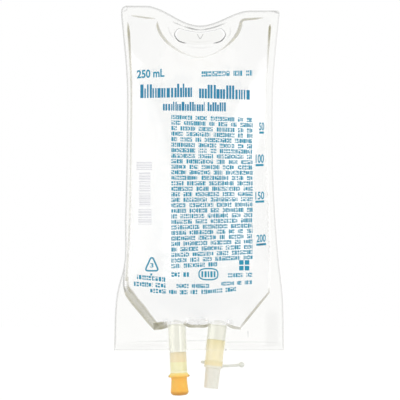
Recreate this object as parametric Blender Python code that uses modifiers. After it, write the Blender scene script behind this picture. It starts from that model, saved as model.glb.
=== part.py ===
"""A 250 mL IV fluid bag: two welded PVC films round the solution, with two ports below.

Metres, +Z up. The printed front faces -Y. The origin is the top centre of the hanger
slot, where a hook bears, so the bag is modelled as it hangs.
"""

import math

import bmesh
import bpy
import numpy as np
from mathutils import Matrix, Vector
from mathutils.geometry import delaunay_2d_cdt

# Contents and film
FILL_VOLUME = 0.000256
FILM = 0.0004
GAP = 0.0003
HEAD_AT_TOP = 0.06

# The ports' mouths below the origin, and the film's foot
MOUTH_DROP = 0.1880
SKIRT_LENGTH = 0.0176
FILM_DROP = MOUTH_DROP + SKIRT_LENGTH

# Half the film's width at its waist, and how much further each side reaches out at the
# shoulder and then at these shares of the mouths' drop
WAIST_HALF = 0.0475
SIDE_STATIONS = (0.160, 0.399, 0.644, 0.809)
OUT_LEFT = (0.0035, 0.0000, 0.0000, 0.0010, 0.0020)
OUT_RIGHT = (0.0039, 0.0001, -0.0005, 0.0013, 0.0039)
EDGE_LEFT = [WAIST_HALF + out for out in OUT_LEFT]
EDGE_RIGHT = [WAIST_HALF + out for out in OUT_RIGHT]

# The weld's widths at the same places
SEAL_LEFT = (0.0038, 0.0027, 0.0026, 0.0027, 0.0021)
SEAL_RIGHT = (0.0056, 0.0042, 0.0038, 0.0040, 0.0060)

# Where the sides flare, above the mouths and beside the chamber's corners, and the foot
CORNER_RISE_LEFT, CORNER_RISE_RIGHT = 0.0222, 0.0195
FLARE_OUT_LEFT, FLARE_OUT_RIGHT = 0.0056, 0.0058
SEAL_CORNER_LEFT, SEAL_CORNER_RIGHT = 0.0047, 0.0081
FOOT_OUT_LEFT, FOOT_OUT_RIGHT = 0.0082, 0.0067
FLARE_LEFT, FLARE_RIGHT = WAIST_HALF + FLARE_OUT_LEFT, WAIST_HALF + FLARE_OUT_RIGHT
FOOT_LEFT, FOOT_RIGHT = WAIST_HALF + FOOT_OUT_LEFT, WAIST_HALF + FOOT_OUT_RIGHT

# The film's top edge, which dips in the middle
SHOULDER_RISE_LEFT, SHOULDER_RISE_RIGHT = 0.0174, 0.0143
EDGE_CENTRE_RISE = 0.0046
DIP_HALF_LEFT, DIP_HALF_RIGHT = 0.0360, 0.0330
TOP_ROUND_LEFT, TOP_ROUND_RIGHT = 0.0035, 0.0014

# Chamber: a well under the hanger, slanted lower corners and a floor that drops to them
SEAL_ABOVE_LEFT, SEAL_ABOVE_RIGHT = 0.0054, 0.0040
WELL_RISE = 0.0093
WELL_HALF_LEFT, WELL_HALF_RIGHT = 0.0274, 0.0256
WELL_DEPTH = 0.0248
WELL_POWER = 1.75
WELL_ROUND_LEFT, WELL_ROUND_RIGHT = 0.0026, 0.0040
CHAMBER_ROUND = 0.0024
FLOOR_HALF_LEFT, FLOOR_HALF_RIGHT = 0.0296, 0.0262
FLOOR_SAG = 0.0014
FLOOR_CORNER_SAG = 0.0040

# Hanger slot, wide at its sagging top edge and narrow at its foot
SLOT_WIDTH = 0.0324
SLOT_HEIGHT = 0.0074
SLOT_SAG = 0.0026
SLOT_FOOT_WIDTH = 0.0186

# Injection port, on the left: a clear tube, its inner pieces and the orange rubber site
INJECTION_X = -0.0151
INJECTION_TILT = math.radians(2.5)
INJECTION_TUBE_DIAMETER = 0.0108
INJECTION_TUBE_WALL = 0.0012
INJECTION_TUBE_LENGTH = 0.0303
SLEEVE_DEPTH = 0.0188
SLEEVE_LENGTH = 0.0063
SLEEVE_WALL = 0.0010
MEMBRANE = 0.0006
HOUSING_WALL = 0.0013
HOUSING_FLANGE = 0.0010
CAP_FLANGE_DIAMETER = 0.0138
CAP_FLANGE = 0.0018
CAP_WAIST_DIAMETER = 0.0102
CAP_WAIST_DROP = 0.0016
CAP_WAIST_LENGTH = 0.0026
CAP_BULB_DIAMETER = 0.0116
CAP_BULB_ROUND = 0.0024
CAP_LENGTH = 0.0142
CAP_STEM_LENGTH = 0.0050

# Outlet port, on the right: a clear tube, the spike bush and its pull-off cover
OUTLET_X = 0.0115
OUTLET_TILT = math.radians(-6.0)
OUTLET_TUBE_DIAMETER = 0.0114
OUTLET_TUBE_WALL = 0.0012
OUTLET_TUBE_LENGTH = 0.0230
BUSH_DEPTH = 0.0107
BUSH_WALL = 0.0008
BUSH_COLLAR_DIAMETER = 0.0096
BUSH_COLLAR = 0.0036
BUSH_NECK_DIAMETER = 0.0070
BUSH_NECK_LENGTH = 0.0045
COVER_COLLAR_DIAMETER = 0.0118
COVER_WALL = 0.0009
COVER_TOP_DIAMETER = 0.0098
COVER_END_DIAMETER = 0.0091
COVER_SLEEVE_LENGTH = 0.0133
COVER_FLOOR = 0.0012
NUB_DIAMETER = 0.0020
NUB_REACH = 0.0024
TAIL_DIAMETER = 0.0021
TAIL_REACH = 0.0124
TAIL_RISE = math.radians(4.0)
TAIL_BALL_DIAMETER = 0.0044

# How finely the shapes are meshed: a film point is kept this many steps from an outline
FILM_STEP = 0.0062
SLOT_STEP = 0.0028
CLEAR_STEPS = 0.62
WELL_STEPS = 14
ROUND_STEPS = 28
ROD_SEGMENTS = 16
BALL_RINGS = 10
ARC_STEPS = 6
CORNER_ARC_STEP = math.radians(22.0)

# The steepest that a film leaves the tube it wraps, measured from the film's plane, the
# lines down its crest as shares of its radius, and how far loose points stay off it
WRAP_ANGLE = math.radians(60.0)
WRAP_LINES = (0.0, 0.4, 0.75)
WRAP_MARGIN = 1.15

# How far the liquid's columns reach up into the chamber from the ports' mouths
COLUMN_RISE = 0.003


def clear_scene():
    for obj in list(bpy.data.objects):
        bpy.data.objects.remove(obj, do_unlink=True)


def collection(name):
    made = bpy.data.collections.new(name)
    bpy.context.scene.collection.children.link(made)
    return made


def plastic(name, colour, roughness, transmission=0.0, ior=1.5):
    material = bpy.data.materials.new(name)
    material.use_nodes = True
    shader = material.node_tree.nodes["Principled BSDF"]
    shader.inputs["Base Color"].default_value = (*colour, 1.0)
    shader.inputs["Roughness"].default_value = roughness
    shader.inputs["Metallic"].default_value = 0.0
    shader.inputs["Transmission Weight"].default_value = transmission
    shader.inputs["IOR"].default_value = ior
    material.diffuse_color = (*colour, 1.0)
    return material


# Outlines, as (x, z) points


def smooth_through(points, step, closed=False):
    """Points about one step apart on a smooth curve through the given ones, less the last."""
    knots = np.array(points)
    spans = range(len(knots) - 1)
    if closed:
        spans = range(2, len(knots) + 2)
        knots = np.vstack((knots[-2:], knots, knots[:3]))
    chord = np.concatenate(([0.0], np.cumsum(np.linalg.norm(np.diff(knots, axis=0), axis=1))))
    slopes = np.gradient(knots, chord, axis=0)
    run = []
    for i in spans:
        length = chord[i + 1] - chord[i]
        count = max(1, round(length / step))
        for t in np.arange(count) / count:
            point = (1 + 2 * t) * (1 - t) ** 2 * knots[i] + t * t * (3 - 2 * t) * knots[i + 1]
            point = point + length * t * (1 - t) ** 2 * slopes[i]
            point = point - length * t * t * (1 - t) * slopes[i + 1]
            run.append(tuple(point))
    return run


def rounded(corners):
    """A closed outline of (x, z, radius) corners, with an arc where the radius isn't zero."""
    outline = []
    for i, (x, z, radius) in enumerate(corners):
        corner = Vector((x, z))
        if radius == 0.0:
            outline.append((x, z))
            continue
        back = (Vector(corners[i - 1][:2]) - corner).normalized()
        ahead = (Vector(corners[(i + 1) % len(corners)][:2]) - corner).normalized()
        half_angle = back.angle(ahead) / 2
        centre = corner + (back + ahead).normalized() * radius / math.sin(half_angle)
        start = corner + back * radius / math.tan(half_angle) - centre
        turn = math.pi - 2 * half_angle
        side = 1.0 if back.x * ahead.y - back.y * ahead.x < 0 else -1.0
        count = max(2, round(turn / CORNER_ARC_STEP))
        for k in range(count + 1):
            spoke = start.copy()
            spoke.rotate(Matrix.Rotation(side * turn * k / count, 2))
            outline.append(tuple(centre + spoke))
    return outline


def divided(outline, step):
    """The closed outline again, with its long sides cut into equal parts."""
    points = []
    for i, (x, z) in enumerate(outline):
        next_x, next_z = outline[(i + 1) % len(outline)]
        count = max(1, round(math.hypot(next_x - x, next_z - z) / step))
        for k in range(count):
            points.append((x + (next_x - x) * k / count, z + (next_z - z) * k / count))
    return points


def sharp(points):
    return [(x, z, 0.0) for x, z in points]


def top_edge_rise(x):
    """Height of the film's top edge, which swings down from each shoulder to the middle."""
    shoulder = SHOULDER_RISE_LEFT if x < 0 else SHOULDER_RISE_RIGHT
    half = DIP_HALF_LEFT if x < 0 else DIP_HALF_RIGHT
    swing = (1 - math.cos(math.pi * min(1.0, abs(x) / half))) / 2
    return EDGE_CENTRE_RISE + (shoulder - EDGE_CENTRE_RISE) * swing


def side_points(half_widths, top, flare, corner_rise):
    """A side's points, from its top down to where it flares beside the chamber's corner."""
    points = [(half_widths[0], top)]
    for half_width, station in zip(half_widths[1:], SIDE_STATIONS):
        points.append((half_width, -station * MOUTH_DROP))
    points.append((flare, corner_rise - MOUTH_DROP))
    return points


def on_left(points):
    return [(-x, z) for x, z in points]


def film_outline():
    """The film's cut edge, down the left side, along the foot and up the right side."""
    top_left = SHOULDER_RISE_LEFT - 2 * TOP_ROUND_LEFT
    top_right = SHOULDER_RISE_RIGHT - 2 * TOP_ROUND_RIGHT
    left = on_left(side_points(EDGE_LEFT, top_left, FLARE_LEFT, CORNER_RISE_LEFT))
    left.append((-FOOT_LEFT, -FILM_DROP))
    right = side_points(EDGE_RIGHT, top_right, FLARE_RIGHT, CORNER_RISE_RIGHT)
    right.append((FOOT_RIGHT, -FILM_DROP))
    columns = round((EDGE_LEFT[0] + EDGE_RIGHT[0]) / FILM_STEP)
    top = []
    for k in range(1, columns):
        x = EDGE_RIGHT[0] - (EDGE_LEFT[0] + EDGE_RIGHT[0]) * k / columns
        top.append((x, top_edge_rise(x), 0.0))
    corners = (
        [(-EDGE_LEFT[0], SHOULDER_RISE_LEFT, TOP_ROUND_LEFT)]
        + sharp(smooth_through(left, FILM_STEP))
        + [(-FOOT_LEFT, -FILM_DROP, 0.0)]
        + sharp(smooth_through(right[::-1], FILM_STEP))
        + [(*right[0], 0.0)]
        + [(EDGE_RIGHT[0], SHOULDER_RISE_RIGHT, TOP_ROUND_RIGHT)]
        + top
    )
    return divided(rounded(corners), FILM_STEP)


def chamber_outline():
    """The inner line of the weld: down the left side, along the floor, up and over the well."""
    top_left = SHOULDER_RISE_LEFT - SEAL_ABOVE_LEFT
    top_right = SHOULDER_RISE_RIGHT - SEAL_ABOVE_RIGHT
    widths_left = [edge - seal for edge, seal in zip(EDGE_LEFT, SEAL_LEFT)]
    widths_right = [edge - seal for edge, seal in zip(EDGE_RIGHT, SEAL_RIGHT)]
    flare_left, flare_right = FLARE_LEFT - SEAL_CORNER_LEFT, FLARE_RIGHT - SEAL_CORNER_RIGHT
    left = on_left(side_points(widths_left, top_left, flare_left, CORNER_RISE_LEFT))
    right = side_points(widths_right, top_right, flare_right, CORNER_RISE_RIGHT)
    reach_in = mouth_reach(INJECTION_TILT, INJECTION_TUBE_DIAMETER)
    reach_out = mouth_reach(OUTLET_TILT, OUTLET_TUBE_DIAMETER)
    floor = [
        (-FLOOR_HALF_LEFT, -MOUTH_DROP - FLOOR_CORNER_SAG, CHAMBER_ROUND),
        (INJECTION_X - reach_in, -MOUTH_DROP, 0.0),
        (INJECTION_X + reach_in, -MOUTH_DROP, 0.0),
        ((INJECTION_X + OUTLET_X) / 2, -MOUTH_DROP - FLOOR_SAG, 0.0),
        (OUTLET_X - reach_out, -MOUTH_DROP, 0.0),
        (OUTLET_X + reach_out, -MOUTH_DROP, 0.0),
        (FLOOR_HALF_RIGHT, -MOUTH_DROP - FLOOR_CORNER_SAG, CHAMBER_ROUND),
    ]
    well = []
    for k in range(1, WELL_STEPS):
        across = math.cos(math.pi * k / WELL_STEPS)
        down = math.sin(math.pi * k / WELL_STEPS)
        half = WELL_HALF_RIGHT if across > 0 else WELL_HALF_LEFT
        x = math.copysign(abs(across) ** (2 / WELL_POWER), across) * half
        well.append((x, WELL_RISE - WELL_DEPTH * down ** (2 / WELL_POWER)))
    left_run, right_run = smooth_through(left, FILM_STEP), smooth_through(right[::-1], FILM_STEP)
    corners = (
        [(*left[0], CHAMBER_ROUND)]
        + sharp(left_run[1:] + [left[-1]])
        + floor
        + sharp(right_run)
        + [(*right[0], CHAMBER_ROUND)]
        + [(WELL_HALF_RIGHT, WELL_RISE, WELL_ROUND_RIGHT)]
        + sharp(well)
        + [(-WELL_HALF_LEFT, WELL_RISE, WELL_ROUND_LEFT)]
    )
    return divided(rounded(corners), FILM_STEP)


def slot_outline():
    """The slot that a hook goes through, with its top centre at the origin.

    Its top edge rises to both ends, and its sides draw in to the foot.
    """
    half, foot = SLOT_WIDTH / 2, SLOT_FOOT_WIDTH / 2
    right = [
        (half * 0.58, SLOT_SAG * 0.5),
        (half * 0.86, SLOT_SAG * 0.88),
        (half, -SLOT_HEIGHT * 0.12),
        (foot + (half - foot) * 0.65, -SLOT_HEIGHT * 0.65),
        (foot, -SLOT_HEIGHT * 0.88),
    ]
    left = [(-x, z) for x, z in reversed(right)]
    around = [(0.0, 0.0)] + right + [(0.0, -SLOT_HEIGHT)] + left
    return smooth_through(around, SLOT_STEP, closed=True)


# Ports


def port_matrix(x, tilt):
    """From a port's own frame, whose -Z runs down the tube, to the bag's."""
    return Matrix.Translation((x, 0.0, -MOUTH_DROP)) @ Matrix.Rotation(-tilt, 4, "Y")


def wrap_radius(diameter):
    return diameter / 2 + GAP


def mouth_half_width(diameter):
    """Half the width of film that leaves the weld's plane to pass over a tube."""
    return wrap_radius(diameter) / math.sin(WRAP_ANGLE)


def mouth_reach(tilt, diameter):
    """How far that width reaches along the chamber's floor line from a tilted port."""
    return mouth_half_width(diameter) / math.cos(tilt)


def wrap_height(off_axis, diameter):
    """Height of the film over a tube: round over its crest, then straight to the weld."""
    radius = wrap_radius(diameter)
    straight = np.clip((radius / math.sin(WRAP_ANGLE) - off_axis) * math.tan(WRAP_ANGLE), 0, None)
    crest = np.sqrt(np.clip(radius * radius - off_axis * off_axis, 0, None))
    return np.where(off_axis < radius * math.sin(WRAP_ANGLE), crest, straight)


def off_axis_distance(points, x, tilt):
    """How far each (x, z) point lies from a port's axis, seen from the front."""
    across, below = points[:, 0] - x, points[:, 1] + MOUTH_DROP
    return np.abs(across * math.cos(tilt) + below * math.sin(tilt))


def port_lines(x, tilt, diameter):
    """Lines down the film along a tube, where its wrapped section turns."""
    radius = wrap_radius(diameter)
    offsets = [share * radius for share in WRAP_LINES]
    offsets += [radius * math.sin(WRAP_ANGLE), mouth_half_width(diameter)]
    rows = max(2, round(SKIRT_LENGTH / FILM_STEP))
    falls = [SKIRT_LENGTH * k / rows for k in range(rows + 1)]
    lines = []
    for offset in offsets + [-offset for offset in offsets[1:]]:
        head = x + offset / math.cos(tilt)
        lines.append([(head + math.tan(tilt) * fall, -MOUTH_DROP - fall) for fall in falls])
    return lines


PORTS = (
    (INJECTION_X, INJECTION_TILT, INJECTION_TUBE_DIAMETER),
    (OUTLET_X, OUTLET_TILT, OUTLET_TUBE_DIAMETER),
)


# Film surface


def inside(points, outline):
    """Which points lie inside a closed outline."""
    x, z = points[:, 0], points[:, 1]
    result = np.zeros(len(points), dtype=bool)
    for (x0, z0), (x1, z1) in zip(outline, outline[1:] + outline[:1]):
        if z0 != z1:
            crosses = (z0 > z) != (z1 > z)
            result ^= crosses & (x < (x1 - x0) * (z - z0) / (z1 - z0) + x0)
    return result


def spread_points(fixed):
    """A staggered grid of points over the film, none too near the fixed ones."""
    row_height = FILM_STEP * math.sqrt(3) / 2
    top = max(SHOULDER_RISE_LEFT, SHOULDER_RISE_RIGHT)
    widest = max(*EDGE_LEFT, *EDGE_RIGHT, FOOT_LEFT, FOOT_RIGHT)
    rows = int((FILM_DROP + top) / row_height) + 1
    columns = int(widest / FILM_STEP) + 1
    grid = []
    for row in range(rows):
        for column in range(-columns, columns + 1):
            grid.append(((column + 0.5 * (row % 2)) * FILM_STEP, top - row * row_height))
    grid = np.array(grid)
    nearest = np.min(np.linalg.norm(grid[:, None, :] - fixed[None, :, :], axis=2), axis=1)
    return grid[nearest > CLEAR_STEPS * FILM_STEP]


def triangulate():
    """The film's flat pattern: points, triangles, and which triangles lie in the chamber."""
    film, chamber, slot = film_outline(), chamber_outline(), slot_outline()
    points, edges = [], []
    for outline in (film, chamber, slot):
        first = len(points)
        points += outline
        edges += [(first + i, first + (i + 1) % len(outline)) for i in range(len(outline))]
    for port in PORTS:
        for line in port_lines(*port):
            first = len(points)
            points += line
            edges += [(first + i, first + i + 1) for i in range(len(line) - 1)]
    spread = spread_points(np.array(points))
    spread = spread[inside(spread, film) & ~inside(spread, slot)]
    for x, tilt, diameter in PORTS:
        near = off_axis_distance(spread, x, tilt) < mouth_half_width(diameter) * WRAP_MARGIN
        spread = spread[~(near & (spread[:, 1] < -MOUTH_DROP))]
    vectors = [Vector(point) for point in points] + [Vector(point) for point in spread.tolist()]
    result = delaunay_2d_cdt(vectors, edges, [], 0, 1e-6)
    flat = np.array([tuple(point) for point in result[0]])
    triangles = np.array(result[2])
    centres = flat[triangles].mean(axis=1)
    kept = inside(centres, film) & ~inside(centres, slot)
    triangles, centres = triangles[kept], centres[kept]
    return flat, triangles, inside(centres, chamber)


def wrapped_heights(flat):
    """How far the skirt stands off the weld's plane, where it passes over the tubes."""
    heights = np.zeros(len(flat))
    below = flat[:, 1] <= -MOUTH_DROP + 1e-6
    for x, tilt, diameter in PORTS:
        wrap = wrap_height(off_axis_distance(flat, x, tilt), diameter)
        heights = np.where(below, np.maximum(heights, wrap), heights)
    return heights


def membrane(flat, triangles):
    """A stretched membrane over the triangles: its stiffness, load, and each point's area.

    The load is the solution's pressure, which grows downwards.
    """
    corners = flat[triangles]
    edges = np.roll(corners, -1, axis=1) - np.roll(corners, 1, axis=1)
    doubled = edges[:, 0, 0] * edges[:, 1, 1] - edges[:, 0, 1] * edges[:, 1, 0]
    areas = np.abs(doubled) / 2
    pressure = HEAD_AT_TOP + SHOULDER_RISE_LEFT - corners[:, :, 1].mean(axis=1)

    stiffness = np.zeros((len(flat), len(flat)))
    load = np.zeros(len(flat))
    share = np.zeros(len(flat))
    for i in range(3):
        np.add.at(load, triangles[:, i], pressure * areas / 3)
        np.add.at(share, triangles[:, i], areas / 3)
        for j in range(3):
            entry = np.sum(edges[:, i] * edges[:, j], axis=1) / (4 * areas)
            np.add.at(stiffness, (triangles[:, i], triangles[:, j]), entry)

    return stiffness, load, share


def film_surface():
    """The front film's inner surface, with heights measured towards the viewer.

    The weld and the wraps over the tubes hold the membrane's edge, and its swell is as
    large as makes each film hold half of FILL_VOLUME.
    """
    flat, triangles, in_chamber = triangulate()
    heights = wrapped_heights(flat)
    chamber_triangles = triangles[in_chamber]
    stiffness, load, share = membrane(flat, chamber_triangles)
    on_weld = np.zeros(len(flat), dtype=bool)
    on_weld[triangles[~in_chamber].ravel()] = True
    free = np.zeros(len(flat), dtype=bool)
    free[chamber_triangles.ravel()] = True
    free &= ~on_weld
    inner = stiffness[np.ix_(free, free)]
    slack = np.linalg.solve(inner, -stiffness[np.ix_(free, ~free)] @ heights[~free])
    swell = np.linalg.solve(inner, load[free])
    held = share[~free] @ heights[~free] + share[free] @ slack
    heights[free] = slack + swell * (FILL_VOLUME / 2 - held) / (share[free] @ swell)
    return flat, triangles, in_chamber, heights


def mesh_object(name, bm, material, where):
    mesh = bpy.data.meshes.new(name)
    bm.to_mesh(mesh)
    bm.free()
    mesh.materials.append(material)
    obj = bpy.data.objects.new(name, mesh)
    where.objects.link(obj)
    return obj


def smooth(obj, angle=math.radians(35)):
    obj.data.shade_smooth()
    obj.data.set_sharp_from_angle(angle=angle)


def film(name, side, surface, material, where):
    """One film, thickened outwards from its inner surface. Side is -1 in front, 1 behind."""
    flat, triangles, _, heights = surface
    bm = bmesh.new()
    verts = [bm.verts.new((x, side * (h + GAP / 2), z)) for (x, z), h in zip(flat, heights)]
    for a, b, c in triangles:
        bm.faces.new((verts[a], verts[b], verts[c]))
    loose = [vert for vert in bm.verts if not vert.link_faces]
    bmesh.ops.delete(bm, geom=loose, context="VERTS")
    bmesh.ops.recalc_face_normals(bm, faces=bm.faces)
    outward = sum((face.normal.y * face.calc_area() for face in bm.faces)) * side
    if outward < 0:
        bmesh.ops.reverse_faces(bm, faces=bm.faces)
    obj = mesh_object(name, bm, material, where)
    thicken = obj.modifiers.new("Film thickness", "SOLIDIFY")
    thicken.thickness = FILM
    thicken.offset = 1.0
    thicken.use_even_offset = True
    smooth(obj)
    return obj


def solution(surface, material, where, cutters):
    """The liquid: it fills the chamber and both tubes down to their membranes."""
    flat, triangles, in_chamber, heights = surface
    filled = heights * (1 - GAP / heights.max())
    bm = bmesh.new()
    verts = [bm.verts.new((x, -h, z)) for (x, z), h in zip(flat, filled)]
    wet = triangles[in_chamber]
    wet = wet[filled[wet].max(axis=1) > GAP]
    for a, b, c in wet:
        bm.faces.new((verts[a], verts[b], verts[c]))
    bmesh.ops.delete(bm, geom=[vert for vert in bm.verts if not vert.link_faces], context="VERTS")
    rim = [edge for edge in bm.edges if edge.is_boundary]
    mouths = [edge for edge in rim if min(vert.co.y for vert in edge.verts) < -1e-6]
    drawn = bmesh.ops.extrude_edge_only(bm, edges=mouths)["geom"]
    for vert in drawn:
        if isinstance(vert, bmesh.types.BMVert):
            vert.co.y = 0.0
    bmesh.ops.remove_doubles(bm, verts=bm.verts, dist=1e-6)
    bmesh.ops.recalc_face_normals(bm, faces=bm.faces)
    if sum((face.normal.y * face.calc_area() for face in bm.faces)) > 0:
        bmesh.ops.reverse_faces(bm, faces=bm.faces)
    obj = mesh_object("solution", bm, material, where)
    mirror = obj.modifiers.new("Back half", "MIRROR")
    mirror.use_axis = (False, True, False)
    mirror.merge_threshold = 0.00001
    walls = (INJECTION_TUBE_WALL, OUTLET_TUBE_WALL)
    depths = (SLEEVE_DEPTH, BUSH_DEPTH)
    for (x, tilt, diameter), wall, depth in zip(PORTS, walls, depths):
        radius = diameter / 2 - wall - GAP
        foot = GAP - depth
        profile = [(0.0, COLUMN_RISE), (radius, COLUMN_RISE), (radius, foot), (0.0, foot)]
        column = turned("liquid_column", profile, material, cutters, port_matrix(x, tilt))
        join(obj, column)
    smooth(obj)
    return obj


# Turned and joined pieces


def turned(name, profile, material, where, place, closed=False):
    """A piece turned about its own Z from (radius, z) points that run down its outer side."""
    bm = bmesh.new()
    verts = [bm.verts.new((radius, 0.0, z)) for radius, z in profile]
    for upper, lower in zip(verts, verts[1:]):
        bm.edges.new((upper, lower))
    if closed:
        bm.edges.new((verts[-1], verts[0]))
    obj = mesh_object(name, bm, material, where)
    turn = obj.modifiers.new("Turn", "SCREW")
    turn.axis = "Z"
    turn.steps = ROUND_STEPS
    turn.render_steps = ROUND_STEPS
    turn.use_merge_vertices = True
    turn.merge_threshold = 0.00001
    turn.use_smooth_shade = True
    obj.matrix_world = place
    return obj


def as_guide(obj):
    obj.hide_render = True
    obj.display_type = "WIRE"


def join(obj, other):
    union = obj.modifiers.new("Join " + other.name, "BOOLEAN")
    union.operation = "UNION"
    union.solver = "EXACT"
    union.object = other
    as_guide(other)


def arc(centre_r, centre_z, radius, start, end):
    """Profile points on a circle, by angles from +r towards +z."""
    points = []
    for k in range(ARC_STEPS + 1):
        angle = start + (end - start) * k / ARC_STEPS
        points.append((centre_r + radius * math.cos(angle), centre_z + radius * math.sin(angle)))
    return points


def tube(name, diameter, wall, top, length, material, where, place):
    outer, inner = diameter / 2, diameter / 2 - wall
    profile = [(outer, top), (outer, top - length), (inner, top - length), (inner, top)]
    return turned(name, profile, material, where, place, closed=True)


def tube_top(diameter, tilt):
    """The tilted tube starts just clear of the chamber's floor line."""
    return -(GAP + diameter / 2 * abs(math.sin(tilt))) / math.cos(tilt)


def injection_port(materials, where):
    place = port_matrix(INJECTION_X, INJECTION_TILT)
    top = tube_top(INJECTION_TUBE_DIAMETER, INJECTION_TILT)
    tube("injection_port_tube", INJECTION_TUBE_DIAMETER, INJECTION_TUBE_WALL, top,
         INJECTION_TUBE_LENGTH, materials["tube"], where, place)
    tube_end = top - INJECTION_TUBE_LENGTH
    fit = INJECTION_TUBE_DIAMETER / 2 - INJECTION_TUBE_WALL - GAP

    bore = fit - SLEEVE_WALL
    sleeve_end = -SLEEVE_DEPTH - SLEEVE_LENGTH
    middle = (-SLEEVE_DEPTH + sleeve_end) / 2
    sleeve = [
        (0.0, middle + MEMBRANE / 2),
        (bore, middle + MEMBRANE / 2),
        (bore, -SLEEVE_DEPTH),
        (fit, -SLEEVE_DEPTH),
        (fit, sleeve_end),
        (bore, sleeve_end),
        (bore, middle - MEMBRANE / 2),
        (0.0, middle - MEMBRANE / 2),
    ]
    turned("injection_membrane_sleeve", sleeve, materials["sleeve"], where, place)

    flange_top = tube_end - GAP
    flange_end = flange_top - HOUSING_FLANGE
    flange = INJECTION_TUBE_DIAMETER / 2
    housing = [
        (fit, sleeve_end - GAP),
        (fit, flange_top),
        (flange, flange_top),
        (flange, flange_end),
        (fit - HOUSING_WALL, flange_end),
        (fit - HOUSING_WALL, sleeve_end - GAP),
    ]
    turned("injection_site_housing", housing, materials["housing"], where, place, closed=True)

    stem = fit - HOUSING_WALL - GAP
    cap_top = flange_end - GAP
    lip = CAP_FLANGE_DIAMETER / 2
    waist, bulb = CAP_WAIST_DIAMETER / 2, CAP_BULB_DIAMETER / 2
    waist_top = cap_top - CAP_FLANGE - CAP_WAIST_DROP
    cap_end = cap_top - CAP_LENGTH
    lip_round = CAP_FLANGE / 2
    bulb_round_top = cap_end + CAP_BULB_ROUND
    cap = (
        [(0.0, cap_top + CAP_STEM_LENGTH), (stem, cap_top + CAP_STEM_LENGTH), (stem, cap_top)]
        + arc(lip - lip_round, cap_top - lip_round, lip_round, math.pi / 2, -math.pi / 2)
        + [(waist, waist_top), (waist, waist_top - CAP_WAIST_LENGTH)]
        + arc(bulb - CAP_BULB_ROUND, bulb_round_top, CAP_BULB_ROUND, 0.0, -math.pi / 2)
        + [(0.0, cap_end)]
    )
    turned("injection_site_cap", cap, materials["orange"], where, place)


def rod(name, start, end, diameter, material, where):
    """A round bar between two points."""
    span = end - start
    bm = bmesh.new()
    bmesh.ops.create_cone(
        bm,
        cap_ends=True,
        segments=ROD_SEGMENTS,
        radius1=diameter / 2,
        radius2=diameter / 2,
        depth=span.length,
    )
    obj = mesh_object(name, bm, material, where)
    turn = span.to_track_quat("Z", "Y").to_matrix().to_4x4()
    obj.matrix_world = Matrix.Translation((start + end) / 2) @ turn
    return obj


def pull_tail(cover, root, rim, height, material, cutters, place):
    """The cover's nub on the left, and on the right its pull tail with a ball at the end."""
    left = place @ Vector((-root, 0.0, height))
    nub_end = place @ Vector((-rim - NUB_REACH, 0.0, height))
    join(cover, rod("cover_nub", left, nub_end, NUB_DIAMETER, material, cutters))
    right = place @ Vector((root, 0.0, height))
    direction = Vector((math.cos(TAIL_RISE), 0.0, math.sin(TAIL_RISE)))
    tail_end = right + direction * (rim - root + TAIL_REACH)
    join(cover, rod("cover_tail", right, tail_end, TAIL_DIAMETER, material, cutters))
    bm = bmesh.new()
    bmesh.ops.create_uvsphere(
        bm, u_segments=ROD_SEGMENTS, v_segments=BALL_RINGS, radius=TAIL_BALL_DIAMETER / 2
    )
    ball = mesh_object("cover_tail_ball", bm, material, cutters)
    ball.location = tail_end
    join(cover, ball)


def outlet_port(materials, where, cutters):
    place = port_matrix(OUTLET_X, OUTLET_TILT)
    top = tube_top(OUTLET_TUBE_DIAMETER, OUTLET_TILT)
    tube("outlet_port_tube", OUTLET_TUBE_DIAMETER, OUTLET_TUBE_WALL, top,
         OUTLET_TUBE_LENGTH, materials["tube"], where, place)
    tube_end = top - OUTLET_TUBE_LENGTH
    fit = OUTLET_TUBE_DIAMETER / 2 - OUTLET_TUBE_WALL - GAP

    collar, neck = BUSH_COLLAR_DIAMETER / 2, BUSH_NECK_DIAMETER / 2
    collar_top = tube_end - GAP
    collar_end = collar_top - BUSH_COLLAR
    neck_end = collar_end - BUSH_NECK_LENGTH
    bore = neck - BUSH_WALL
    bush = [
        (fit, -BUSH_DEPTH),
        (fit, collar_top),
        (collar, collar_top),
        (collar, collar_end),
        (neck, collar_end),
        (neck, neck_end),
        (bore, neck_end),
        (bore, -BUSH_DEPTH - 2 * MEMBRANE - GAP),
        (fit - BUSH_WALL, -BUSH_DEPTH - 2 * MEMBRANE - GAP),
        (fit - BUSH_WALL, -BUSH_DEPTH),
    ]
    turned("outlet_spike_bush", bush, materials["bush"], where, place, closed=True)

    disc = fit - BUSH_WALL - GAP
    membrane = [
        (0.0, -BUSH_DEPTH - MEMBRANE),
        (disc, -BUSH_DEPTH - MEMBRANE),
        (disc, -BUSH_DEPTH - 2 * MEMBRANE),
        (0.0, -BUSH_DEPTH - 2 * MEMBRANE),
    ]
    turned("outlet_membrane", membrane, materials["membrane"], where, place)

    cover_collar = COVER_COLLAR_DIAMETER / 2
    socket = collar + GAP
    socket_floor = collar_end - GAP
    sleeve_top = socket_floor - COVER_WALL
    sleeve_end = sleeve_top - COVER_SLEEVE_LENGTH
    upper, lower = COVER_TOP_DIAMETER / 2, COVER_END_DIAMETER / 2
    cover = [
        (0.0, sleeve_end + COVER_FLOOR),
        (lower - COVER_WALL, sleeve_end + COVER_FLOOR),
        (neck + GAP, neck_end),
        (neck + GAP, socket_floor),
        (socket, socket_floor),
        (socket, collar_top),
        (cover_collar, collar_top),
        (cover_collar, sleeve_top),
        (upper, sleeve_top),
        (lower, sleeve_end),
        (0.0, sleeve_end),
    ]
    body = turned("outlet_cover", cover, materials["cover"], where, place)
    middle = (collar_top + sleeve_top) / 2
    root = (socket + cover_collar) / 2
    pull_tail(body, root, cover_collar, middle, materials["cover"], cutters, place)


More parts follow.
